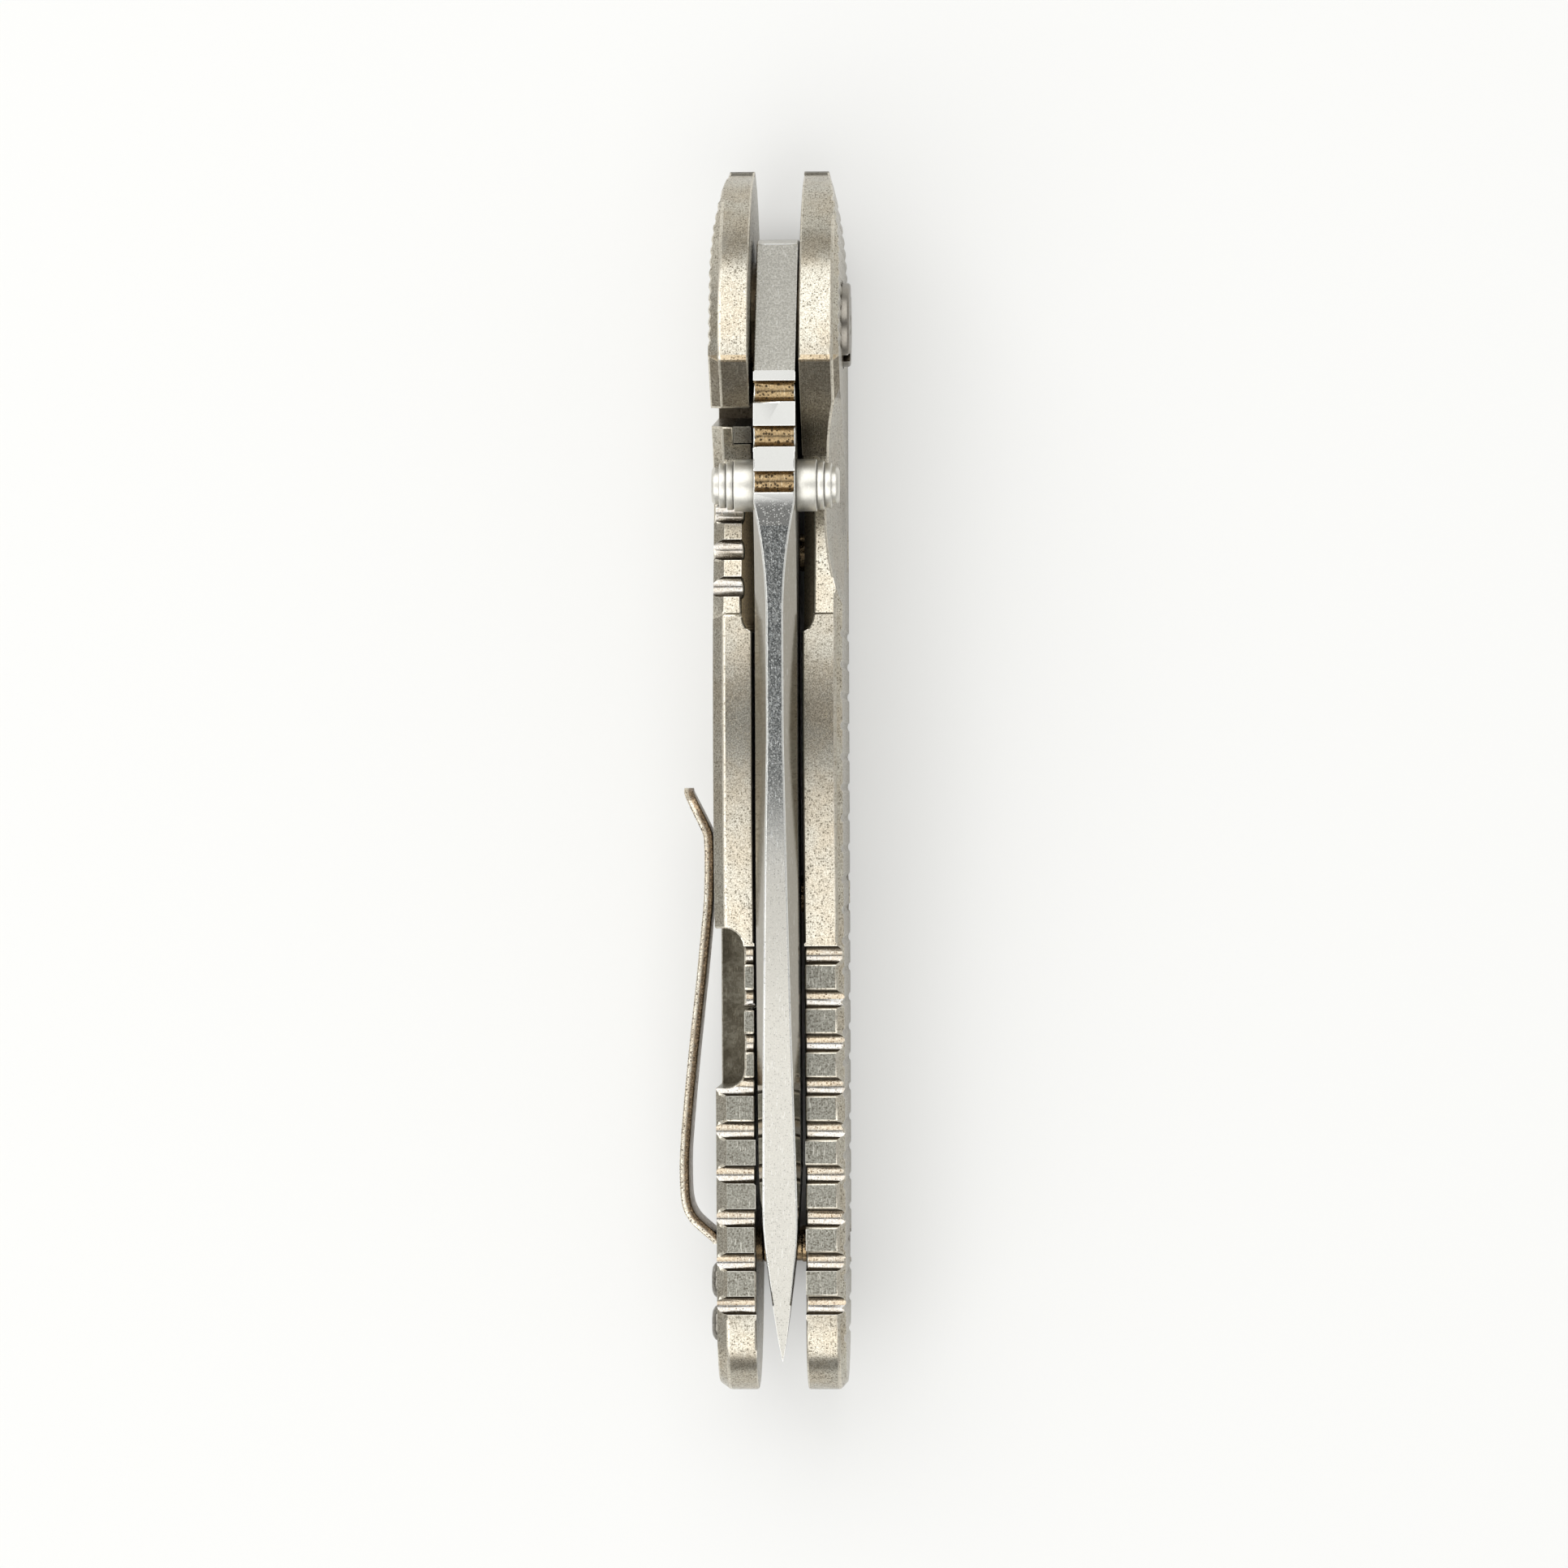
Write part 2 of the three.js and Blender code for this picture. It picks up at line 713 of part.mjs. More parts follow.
function addLockSide() {
  const blank = cutAll(slabBlank(lockSide, lockSideChamfer), [
    cheekCutter(lockSide),
    ...gripGrooves(lockSide),
    ...textureGrooves(lockSide, noseTexture),
    scoopRelief(lockSide),
    flexurePocket(),
    clipPocket(),
    ...clipScrewCutters(),
    ...pivotCutters(lockSide),
    ...standoffScrewCutters(lockSide),
    stopPinCutter(),
  ]);
  const slotEnd = rod(slotEndRadius, -farAway, 0, flexureCentre - flexureGap / 2,
    lockBarFloor - lockBarUnderCut / 2);
  const slab = cutAll(blank, [
    lockBarRegion(lockSlotWidth, lockBarUnderCut, flexureGap / 2),
    slotEnd,
  ]);
  addPiece('lock_side_slab', slab, finishes.titanium);

  const bar = blank.intersect(lockBarRegion(0, 0, -flexureGap / 2));
  const thumbGrooves = Array.from({ length: thumbGrooveCount }, (_, i) => {
    const y = thumbGrooveFirst - i * thumbGroovePitch;
    return rod(thumbGrooveRadius, -innerFace + past, -outerFace - past,
      y, topAt(y) + thumbGrooveSink, smallSteps);
  });
  const screwDepth = innerFace + insertScrewLength;
  const screwHole = rod(insertScrewRadius + fitClearance, -innerFace + past,
    -screwDepth - fitClearance, insertScrewY, insertScrewZ, smallSteps);
  addPiece('lock_bar', cutAll(bar, [
    ...thumbGrooves,
    insertRegion(seatClearance),
    screwHole,
    slotEnd,
  ]), finishes.titanium);

  const headHole = rod(insertScrewHeadRadius + fitClearance, -innerFace + past,
    -innerFace - insertScrewSink - insertScrewHeadHeight, insertScrewY, insertScrewZ);
  const ballHole = rod(detentBallRadius + fitClearance, -innerFace + past,
    detentX - detentBallRadius - fitClearance, detentY, 0, smallSteps);
  const insert = bar.intersect(insertRegion(0));
  addPiece('lock_insert', cutAll(insert, [headHole, screwHole, ballHole]), finishes.blade);
  addPiece('lock_insert_screw', insertScrew(screwDepth), finishes.steel);
  const ball = new THREE.SphereGeometry(detentBallRadius, 12, 8);
  addPiece('detent_ball', solidOf(ball.translate(detentX, detentY, 0)), finishes.polished);
}

// The screw that holds the insert, driven from the blade's side into the lock bar.
function insertScrew(depth) {
  return screw(showSide, -depth, -innerFace - insertScrewSink, insertScrewHead,
    insertScrewY, insertScrewZ);
}

// ---------------------------------------------------------------- show side

function addShowSide() {
  const blank = slabBlank(showSide, showSideChamfer);
  addPiece('show_side_slab', cutAll(blank, [
    cheekCutter(showSide),
    thumbScallop(),
    scoopRelief(showSide),
    ...gripGrooves(showSide),
    ...textureGrooves(showSide, sideTexture),
    ...textureGrooves(showSide, noseTexture),
    ...pivotCutters(showSide),
    ...standoffScrewCutters(showSide),
    stopPinCutter(),
  ]), finishes.titanium);
}

// ---------------------------------------------------------------- blade

const tangStart = at(Math.cos(radians(tangRampStart)), Math.sin(radians(tangRampStart)))
  .multiplyScalar(tangRadius);

// The blade's back, from the tang's front corner to the point.
function spineLine() {
  const curve = new THREE.CubicBezierCurve(
    at(spineKnee.y, spineKnee.z),
    at(spineKnee.y - spineReach, spineKnee.z),
    at(bladeTip.y + tipSpineRise.along, bladeTip.z + tipSpineRise.up),
    at(bladeTip.y, bladeTip.z));
  return [
    tangStart,
    at(tangRampEnd.y, tangRampEnd.z),
    at(spineStart.y, spineStart.z),
    ...curve.getPoints(24),
  ];
}

// The cutting edge, from the ricasso to the point.
function edgeLine() {
  const curve = new THREE.CubicBezierCurve(
    at(edgeBelly.y, edgeBelly.z),
    at(edgeBelly.y - edgeBellyReach.along, edgeBelly.z + edgeBellyReach.up),
    at(bladeTip.y + tipEdgeFall.along, bladeTip.z - tipEdgeFall.down),
    at(bladeTip.y, bladeTip.z));
  return [at(tangRadius, ricassoFloor), at(edgeStart, ricassoFloor), ...curve.getPoints(24)];
}

// A facet that starts from nothing keeps this share of the size that it grows from, and the
// swedges and the grinds never take more than these shares of the blade's height.
const facetShare = 0.02;
const swedgeShare = 0.4;
const grindShare = 0.5;

const spine = spineLine();
const edge = edgeLine();

// Half the blade's thickness: full to the tip's taper, then falling off ever faster.
function halfThickness(y) {
  const left = THREE.MathUtils.clamp((y - bladeTip.y) / tipTaperLength, 0.004, 1);
  const taper = tipThickness / 2 * left ** tipTaperPower;
  const full = bladeTip.y + tipTaperLength;
  const rise = THREE.MathUtils.smoothstep(y, full, full + tipBlend);
  return left < 1 ? taper : THREE.MathUtils.lerp(tipThickness / 2, bladeFace, rise);
}

// Half the width of the flat left on the spine between the two swedges.
function halfSpine(y) {
  const run = THREE.MathUtils.clamp((y - spineStart.y + swedgeRun) / swedgeRun, 0, 1);
  const hollow = swedgeFlat + (bladeFace - swedgeFlat) * run ** 2;
  const grown = swedgeFlat + Math.max(0, swedgeGrowthStart - y) * swedgeGrowth;
  return Math.min(Math.max(hollow, grown), halfThickness(y) * (1 - facetShare));
}

// The blade's cross-section at a place: spine flat, swedges, sides and ground edge.
function bladeSection(y) {
  const top = heightOn(spine, y);
  const bottom = heightOn(edge, y);
  const depth = top - bottom;
  const wide = halfThickness(y);
  const narrow = halfSpine(y);
  const swedge = Math.min((wide - narrow) * swedgeSlope + facetShare * depth, swedgeShare * depth);
  const plunge = THREE.MathUtils.smoothstep(edgeStart - y, 0, plungeLength);
  const grind = Math.min(facetShare + grindHeight * plunge, grindShare * depth);
  const keen = Math.min(THREE.MathUtils.lerp(wide, edgeHalfWidth, plunge), wide);
  return [
    at(narrow, top), at(-narrow, top), at(-wide, top - swedge), at(-wide, bottom + grind),
    at(-keen, bottom), at(keen, bottom), at(wide, bottom + grind), at(wide, top - swedge),
  ];
}

// A closed skin through rings of points set upright at stations along Y.
function loft(stations, sectionAt) {
  const rings = stations.map(sectionAt);
  const ringSize = rings[0].length;
  const positions = rings.flatMap((ring, i) => ring.flatMap((p) => [p.x, stations[i], p.y]));
  const faces = [];
  for (let s = 0; s + 1 < stations.length; s += 1) {
    for (let k = 0; k < ringSize; k += 1) {
      const a = s * ringSize + k;
      const b = s * ringSize + (k + 1) % ringSize;
      faces.push(a, b, a + ringSize, b, b + ringSize, a + ringSize);
    }
  }
  const last = (stations.length - 1) * ringSize;
  for (let k = 1; k + 1 < ringSize; k += 1) {
    faces.push(0, k + 1, k, last, last + k, last + k + 1);
  }
  const geometry = new THREE.BufferGeometry();
  geometry.setAttribute('position', new THREE.Float32BufferAttribute(positions, 3));
  geometry.setIndex(faces);
  return solidOf(geometry);
}

// The tang ends just ahead of the cutting edge, and the ground blade starts inside it.
const tangReach = 0.5;
const groundLead = 1.5;
const tangRear = edgeStart + tangReach;
const groundStart = edgeStart + groundLead;
const swedgeStationCount = 20;
const bladeStationCount = 38;
const leastTip = 0.05;

// Places of the cross-sections: close together where the swedges start, wider behind.
function bladeStations() {
  const swedgeEnd = spineStart.y - swedgeRun;
  const end = bladeTip.y + leastTip;
  const spread = (from, to, count) => Array.from({ length: count }, (_, i) => (
    THREE.MathUtils.lerp(from, to, i / count)));
  return [
    ...spread(groundStart, swedgeEnd, swedgeStationCount),
    ...spread(swedgeEnd, end, bladeStationCount),
    end,
  ];
}

// The flat tang: round front that passes the stop pin, ramp up to the spine, and a heel whose
// shoulder meets the pin from behind when the blade is closed.
function tangOutline() {
  const heelFront = at(heelShoulder, -Math.sqrt(heelRadius ** 2 - heelShoulder ** 2));
  const heelTurn = Math.atan2(heelFront.y, heelFront.x) - radians(heelSpread);
  const heelRear = at(Math.cos(heelTurn), Math.sin(heelTurn)).multiplyScalar(heelRadius);
  const shoulderTop = at(heelShoulder, -Math.sqrt(tangRadius ** 2 - heelShoulder ** 2));
  return [
    ...arcTo(heelRear, heelFront, heelRadius, 6),
    shoulderTop,
    ...arcTo(shoulderTop, tangStart, tangRadius, 18),
    at(tangRampEnd.y, tangRampEnd.z),
    at(tangRear, heightOn(spine, tangRear)),
    at(tangRear, ricassoFloor),
    at(heelRear.x - heelRelief, ricassoFloor),
  ];
}

function addBlade() {
  const tang = plate(tangOutline(), -bladeFace, bladeFace);
  const body = tang.add(loft(bladeStations(), bladeSection));
  const grooves = Array.from({ length: spineGrooveCount }, (_, i) => {
    const y = spineGrooveFirst - i * spineGroovePitch;
    return rod(spineGrooveRadius, -bladeFace - past, bladeFace + past,
      y, heightOn(spine, y) - spineGrooveSink, smallSteps);
  });
  addPiece('blade', cutAll(body, [
    ...grooves,
    rod(barrelRadius + fitClearance, -farAway, farAway, 0, 0, fineSteps),
    rod(studShankRadius + fitClearance, -farAway, farAway, studY, studZ),
    rod(detentBallRadius, -farAway, -bladeFace + detentDimple, detentY, 0, smallSteps),
    rod(choilRadius, -farAway, farAway, edgeStart - choilRadius / 2, ricassoFloor),
  ]), finishes.blade);
}

// ---------------------------------------------------------------- thumb studs

// A rounded corner of a turned profile: it leaves [radius, x] along X and ends square to it.
function roundedCorner(radius, x, inwards, onwards, steps) {
  return Array.from({ length: steps }, (_, i) => {
    const angle = (Math.PI / 2) * (i + 1) / steps;
    return [radius - inwards * (1 - Math.cos(angle)), x + onwards * Math.sin(angle)];
  });
}

// The turned part of a stud outside the blade: a drum, two thinner rings and a domed end,
// parted by narrow grooves.
function studProfile(start) {
  const steps = [
    [studRadius, studBaseLength],
    [studRadius - studRingStep, studRingLength],
    [studRadius - 2 * studRingStep, studRingLength],
  ];
  const points = [[0, start]];
  let x = start;
  for (const [radius, length] of steps) {
    const neck = radius - studGrooveDepth;
    points.push([radius, x], [radius, x + length], [neck, x + length]);
    x += length + studGrooveWidth;
    points.push([neck, x]);
  }
  const rimStart = x + studTipLength - studTipRim;
  return [
    ...points,
    [studTipRadius, x],
    [studTipRadius, rimStart],
    ...roundedCorner(studTipRadius, rimStart, studTipRim, studTipRim, 3),
    [0, x + studTipLength],
  ];
}

// The show side's stud is a cap, and the lock side's has the shank that runs into it.
function addStuds() {
  const profile = studProfile(bladeFace);
  const shankEnd = bladeFace + studBaseLength - studWall;
  const socket = rod(studSocketRadius, 0, shankEnd + fitClearance, studY, studZ);
  const cap = turned(profile, studY, studZ, showSide);
  addPiece('thumb_stud_show_side', cap.subtract(socket), finishes.polished);
  const shank = rod(studShankRadius, -bladeFace - studWall, shankEnd, studY, studZ);
  const mate = turned(profile, studY, studZ, lockSide);
  addPiece('thumb_stud_lock_side', mate.add(shank), finishes.polished);
}

// ---------------------------------------------------------------- pocket clip

const clipTabRear = clipTabFront - clipTabLength;
const clipPeakPlace = clipTabFront + clipPeakReach;
const clipContact = clipTabFront + clipContactReach;
const clipTipPlace = clipTabFront + clipTipReach;
const clipScrewList = Object.entries(clipScrewInsets)
  .map(([place, inset]) => [place, clipTabFront - inset]);

function clipPocket() {
  const half = clipWidth / 2 + fitClearance;
  return block(-outerFace - past, -(outerFace - clipThickness),
    clipTabRear - fitClearance, clipTabFront + clipPocketLead,
    clipHeight - half, clipHeight + half);
}

function clipScrewCutters() {
  return clipScrewList.map(([, y]) => rod(
    clipScrewShank + fitClearance, -outerFace - past,
    -(outerFace - clipThickness - clipScrewDepth - fitClearance), y, clipHeight, smallSteps));
}

// The clip's centre line, as the distance out from the slab's outer face: it climbs out of its
// pocket to the peak, runs down to the contact near the front and turns up at the tip.
function clipCentreLine() {
  const touch = clipContactGap + clipThickness / 2;
  const { lerp } = THREE.MathUtils;
  const curve = new THREE.SplineCurve([
    ...clipHeel.map(([along, rise]) => (
      at(clipPeak * rise, lerp(clipTabFront, clipPeakPlace, along)))),
    at(clipPeak, clipPeakPlace),
    ...clipRun.map(([along, fall]) => (
      at(lerp(clipPeak, touch, fall), lerp(clipPeakPlace, clipContact, along)))),
    ...clipLift.map(([along, rise]) => (
      at(lerp(touch, clipTipRise, rise), lerp(clipContact, clipTipPlace, along)))),
    at(clipTipRise, clipTipPlace),
  ]);
  return curve.getPoints(34);
}

// The strip round the centre line, seen from above: each point moved half a thickness out or in.
function clipStrip() {
  const centre = clipCentreLine();
  const half = clipThickness / 2;
  const shifted = (sign) => centre.map((point, i) => {
    const before = centre[Math.max(i - 1, 0)];
    const after = centre[Math.min(i + 1, centre.length - 1)];
    const along = after.clone().sub(before).normalize();
    return at(-outerFace - point.x - sign * half * along.y, point.y + sign * half * -along.x);
  });
  return [...shifted(1), ...shifted(-1).reverse()];
}

function addClip() {
  const half = clipWidth / 2;
  const strip = prism(clipStrip(), clipHeight - half, clipHeight + half);
  const tipHalf = clipTipWidth / 2;
  const bend = clipTabFront + clipWidth;
  const root = clipTabFront + clipHingeGap;
  const tipCentre = clipTipPlace + clipTipOver - tipHalf;
  const shoulderPlace = clipTipPlace - clipTipShoulder;
  const face = [
    at(root, -half),
    at(bend, -half),
    at(shoulderPlace, -tipHalf),
    at(tipCentre, -tipHalf),
    ...arcTo(at(tipCentre, -tipHalf), at(tipCentre, tipHalf), tipHalf, 12),
    at(shoulderPlace, tipHalf),
    at(bend, half),
    at(root, half),
  ].map((point) => at(point.x, point.y + clipHeight));
  const arm = strip.intersect(plate(face, -farAway, 0));
  addPiece('clip_arm', arm, finishes.clip);

  const tab = block(-outerFace, -(outerFace - clipThickness), clipTabRear, clipTabFront,
    clipHeight - half, clipHeight + half);
  const holes = clipScrewList.map(([, y]) => rod(
    clipScrewShank + fitClearance, -farAway, 0, y, clipHeight, smallSteps));
  addPiece('clip_base', cutAll(tab, holes), finishes.clip);

  for (const [place, y] of clipScrewList) {
    addPiece(`clip_screw_${place}`, clipScrew(y), finishes.clip);
  }
}

// A round-head screw on the clip's tab: the head is a low dome with a short straight rim.
function clipScrew(y) {
  const start = outerFace - clipThickness - clipScrewDepth;
  const end = outerFace + clipScrewHeadHeight;
  const rimEnd = outerFace + clipScrewRim;
  const profile = [
    [0, start],
    [clipScrewShank, start],
    [clipScrewShank, outerFace],
    [clipScrewHeadRadius, outerFace],
    [clipScrewHeadRadius, rimEnd],
    ...roundedCorner(clipScrewHeadRadius, rimEnd, clipScrewHeadRadius, end - rimEnd, 4),
  ];
  const socket = driverSocket(-end - past, -end + clipSocketDepth, y, clipHeight, socketRadius);
  return turned(profile, y, clipHeight, lockSide, smallSteps).subtract(socket);
}

// ---------------------------------------------------------------- assembly

addShowSide();
addLockSide();
addPivot();
addPinsAndStandoffs();
addBlade();
addStuds();
addClip();

// The model's origin is below the middle of the whole knife, on the surface it stands on.
const widest = outerFace + pivotHeadProudShow;
const clipReach = outerFace + clipPeak + clipThickness / 2;
knife.position.set((clipReach - widest) / 2, -(noseTip + tailTip) / 2, pivotHeight);

const model = new THREE.Group();
model.add(knife);
export default model;
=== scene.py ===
"""A folding pocket knife, closed and standing on the back of its handle, seen from straight above.

The CAD frame holds every piece at its real size. This script gives the pieces their finish: rounded
edges, turned studs and screw heads, stone-washed titanium, a satin blade and a bronze-tinted clip.
Lengths are metres, in the frame's own axes: +Y runs towards the pivot end, +Z is up, and +X points
across the handle to the show side, which has no clip.
"""

import math

import bmesh
import bpy
import numpy as np
from mathutils import Matrix, Vector


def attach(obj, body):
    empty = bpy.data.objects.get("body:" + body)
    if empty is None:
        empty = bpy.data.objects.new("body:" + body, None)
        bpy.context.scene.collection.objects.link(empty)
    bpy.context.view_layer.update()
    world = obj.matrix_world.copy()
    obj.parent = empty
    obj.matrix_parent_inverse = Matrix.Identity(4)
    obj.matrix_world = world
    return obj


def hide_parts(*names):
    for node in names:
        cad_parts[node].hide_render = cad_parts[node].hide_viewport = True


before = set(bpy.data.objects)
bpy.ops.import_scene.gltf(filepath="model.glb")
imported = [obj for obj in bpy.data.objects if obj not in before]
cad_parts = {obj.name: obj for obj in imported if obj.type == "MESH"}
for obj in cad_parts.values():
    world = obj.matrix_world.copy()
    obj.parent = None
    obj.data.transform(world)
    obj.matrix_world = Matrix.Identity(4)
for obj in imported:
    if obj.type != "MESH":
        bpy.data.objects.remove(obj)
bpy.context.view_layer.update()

MM = 0.001

# ---------------- camera

CAMERA_HEIGHT = 729.8 * MM
CAMERA_LENS = 161.3
SENSOR_WIDTH = 36
CAMERA_LEAN = math.radians(2.3)
CAMERA_ROLL = math.radians(0.23)
CAMERA_AIM = Vector((1.94, -0.4, 15.7)) * MM


def add_camera():
    """The photograph's camera: it looks down at the aim point from the given height, leaning to
    +X and rolled about its view."""
    lean = Matrix.Rotation(CAMERA_LEAN, 3, "Y")
    roll = Matrix.Rotation(-CAMERA_ROLL, 3, "Z")
    turn = (lean @ roll).to_4x4()
    back = lean @ Vector((0, 0, 1))
    distance = (CAMERA_HEIGHT - CAMERA_AIM.z) / back.z
    data = bpy.data.cameras.new("photo_camera")
    data.lens = CAMERA_LENS
    data.sensor_width = SENSOR_WIDTH
    camera = bpy.data.objects.new("photo_camera", data)
    camera.matrix_world = Matrix.Translation(CAMERA_AIM + back * distance) @ turn
    bpy.context.scene.collection.objects.link(camera)
    bpy.context.scene.camera = camera


# ---------------- node trees


class Tree:
    """Short calls that add nodes to one shader tree and wire them up."""

    def __init__(self, tree):
        self.tree = tree

    def node(self, kind, **settings):
        made = self.tree.nodes.new("ShaderNode" + kind)
        for name, value in settings.items():
            setattr(made, name, value)
        return made

    def feed(self, socket, value):
        """Links a socket's value in, or writes a plain value. A bare colour is made opaque."""
        if isinstance(value, bpy.types.NodeSocket):
            self.tree.links.new(value, socket)
        elif value is not None:
            bare = socket.type == "RGBA" and len(value) == 3
            socket.default_value = (*value, 1) if bare else value

    def maths(self, operation, *values, kind="Math", output=0):
        made = self.node(kind, operation=operation)
        for socket, value in zip(made.inputs, values):
            self.feed(socket, value)
        return made.outputs[output]

    def times(self, first, second):
        return self.maths("MULTIPLY", first, second)

    def plus(self, first, second):
        return self.maths("ADD", first, second)

    def minus(self, first, second):
        return self.maths("SUBTRACT", first, second)

    def span(self, value, low, high, to_low=0.0, to_high=1.0):
        """Eases a value from one range into another."""
        made = self.node("MapRange", interpolation_type="SMOOTHSTEP")
        for socket, each in zip(made.inputs, (value, low, high, to_low, to_high)):
            self.feed(socket, each)
        return made.outputs["Result"]

    def mix(self, factor, first, second):
        made = self.node("Mix", data_type="RGBA")
        self.feed(made.inputs["Factor"], factor)
        self.feed(made.inputs["A"], first)
        self.feed(made.inputs["B"], second)
        return made.outputs["Result"]

    def noise(self, vector, scale, detail=3.0, roughness=0.6):
        made = self.node("TexNoise")
        self.feed(made.inputs["Vector"], vector)
        self.feed(made.inputs["Scale"], scale)
        made.inputs["Detail"].default_value = detail
        made.inputs["Roughness"].default_value = roughness
        return made.outputs["Fac"]

    def stretched(self, vector, turn, scale):
        """Coordinates turned and then scaled unevenly, for marks that run one way."""
        made = self.node("Mapping")
        self.feed(made.inputs["Vector"], vector)
        made.inputs["Rotation"].default_value = turn
        made.inputs["Scale"].default_value = scale
        return made.outputs["Vector"]

    def along_axes(self, vector):
        """A vector's parts along the axes, named X, Y and Z."""
        made = self.node("SeparateXYZ")
        self.feed(made.inputs["Vector"], vector)
        return made.outputs


def new_group(name, inputs, outputs):
    """An empty shader node group with the inputs {name: (type, value)} and the outputs
    {name: type}. Returns its graph, its inputs' values and the sockets of its results."""
    tree = bpy.data.node_groups.new(name, "ShaderNodeTree")
    for label, (kind, value) in inputs.items():
        socket = tree.interface.new_socket(label, in_out="INPUT", socket_type="NodeSocket" + kind)
        if value is not None:
            socket.default_value = value
    for label, kind in outputs.items():
        tree.interface.new_socket(label, in_out="OUTPUT", socket_type="NodeSocket" + kind)
    graph = Tree(tree)
    source = tree.nodes.new("NodeGroupInput")
    target = tree.nodes.new("NodeGroupOutput")
    return graph, source.outputs, target.inputs


SPREAD_SCALE = 420.0
CLOUD_SCALE = 260.0
PIT_RIM = {"outside": 0.05, "inside": 0.1}
SCRATCH_RUNS = ((0.5, 7200.0), (-0.9, 6300.0), (2.1, 6800.0))
SCRATCH_LENGTHS = (900.0, 2000.0)
SCRATCH_RANGE = (0.66, 0.74)
GRAIN_HEIGHT = 0.6
PIT_SINK = 1.6


def make_stone_wash():
    """Tumbled metal: fine grain, dark pits, short bright scratches and broad clouds of tone. A
    pit is a dot in a cell of its own, as large as the cell's chance and the local spread say.
    Scratches are the peaks of noises drawn out in three directions."""
    graph, given, result = new_group(
        "stone_wash",
        {"Vector": ("Vector", None), "Grain Scale": ("Float", 7000.0),
         "Pit Scale": ("Float", 4200.0), "Pit Share": ("Float", 0.5)},
        {name: "Float" for name in ("Grain", "Pits", "Scratches", "Cloud", "Height")},
    )
    vector = given["Vector"]
    grain = graph.noise(vector, given["Grain Scale"], detail=3.0, roughness=0.7)
    cells = graph.node("TexVoronoi")
    graph.feed(cells.inputs["Vector"], vector)
    graph.feed(cells.inputs["Scale"], given["Pit Scale"])
    chance = graph.node("SeparateColor")
    graph.feed(chance.inputs[0], cells.outputs["Color"])
    spread = graph.noise(vector, SPREAD_SCALE, detail=2.0)
    most = graph.times(given["Pit Share"], graph.plus(spread, 0.5))
    size = graph.times(chance.outputs[0], most)
    rim = graph.plus(size, PIT_RIM["outside"]), graph.minus(size, PIT_RIM["inside"])
    pits = graph.span(cells.outputs["Distance"], *rim)
    marks = []
    for turn, across in SCRATCH_RUNS:
        drawn = graph.stretched(vector, (0.0, 0.0, turn), (across, *SCRATCH_LENGTHS))
        marks.append(graph.span(graph.noise(drawn, 1.0, detail=1.0), *SCRATCH_RANGE))
    scratches = graph.maths("MAXIMUM", graph.maths("MAXIMUM", marks[0], marks[1]), marks[2])
    cloud = graph.noise(vector, CLOUD_SCALE, detail=3.0, roughness=0.55)
    rough = graph.times(grain, GRAIN_HEIGHT)
    height = graph.minus(rough, graph.times(pits, PIT_SINK))
    made = {"Grain": grain, "Pits": pits, "Scratches": scratches, "Cloud": cloud, "Height": height}
    for name, value in made.items():
        graph.feed(result[name], value)
    return graph.tree


NORMAL_SAMPLES = 6
BREAK_UP_WEIGHT = 0.12
WEAR_RANGE = (0.015, 0.12)


def make_edge_wear():
    """Where a surface bends sharply within the radius, broken up by the given noise: the eased
    difference between the rounded and the plain normal."""
    graph, given, result = new_group(
        "edge_wear",
        {"Radius": ("Float", 0.0002), "Break Up": ("Float", 0.5)},
        {"Wear": "Float"},
    )
    rounded = graph.node("Bevel", samples=NORMAL_SAMPLES)
    graph.feed(rounded.inputs["Radius"], given["Radius"])
    plain = graph.node("NewGeometry").outputs["Normal"]
    agreement = graph.maths("DOT_PRODUCT", rounded.outputs["Normal"], plain,
                            kind="VectorMath", output=1)
    bend = graph.minus(1.0, agreement)
    uneven = graph.minus(given["Break Up"], 0.5)
    broken = graph.plus(bend, graph.times(uneven, BREAK_UP_WEIGHT))
    graph.feed(result["Wear"], graph.span(broken, *WEAR_RANGE))
    return graph.tree


OPEN_SAMPLES = 6
OPEN_RANGE = (0.66, 0.16)


def make_painted_recess_shade():
    """Painted shade in narrow recesses: full where little open space lies within the reach."""
    graph, given, result = new_group(
        "recess_shade_painted", {"Reach": ("Float", 0.0015)}, {"Painted_Shade": "Float"})
    open_share = graph.node("AmbientOcclusion", samples=OPEN_SAMPLES)
    graph.feed(open_share.inputs["Distance"], given["Reach"])
    graph.feed(result["Painted_Shade"], graph.span(open_share.outputs["AO"], *OPEN_RANGE))
    return graph.tree


def make_turning():
    """Fine tool rings of a lathe, from the distance that runs along the turned profile."""
    graph, given, result = new_group(
        "lathe_rings",
        {"Along": ("Float", 0.0), "Ring Scale": ("Float", 22.0)},
        {"Rings": "Float"},
    )
    rings = graph.node("TexNoise", noise_dimensions="1D")
    graph.feed(rings.inputs["W"], given["Along"])
    graph.feed(rings.inputs["Scale"], given["Ring Scale"])
    rings.inputs["Detail"].default_value = 3.0
    graph.feed(result["Rings"], rings.outputs["Fac"])
    return graph.tree


def use_group(graph, tree, **values):
    """Places a node group and feeds its inputs, with spaces written as underscores."""
    made = graph.node("Group", node_tree=tree)
    for name, value in values.items():
        graph.feed(made.inputs[name.replace("_", " ").title()], value)
    return made.outputs


def new_material(name):
    """A material with one Principled shader, and the graph to build its surface in."""
    material = bpy.data.materials.new(name)
    material.use_nodes = True
    graph = Tree(material.node_tree)
    shader = next(n for n in material.node_tree.nodes if n.type == "BSDF_PRINCIPLED")
    return material, graph, shader


STONE_WASH = make_stone_wash()
EDGE_WEAR = make_edge_wear()
RECESS_SHADE_GROUP = make_painted_recess_shade()
TURNING = make_turning()
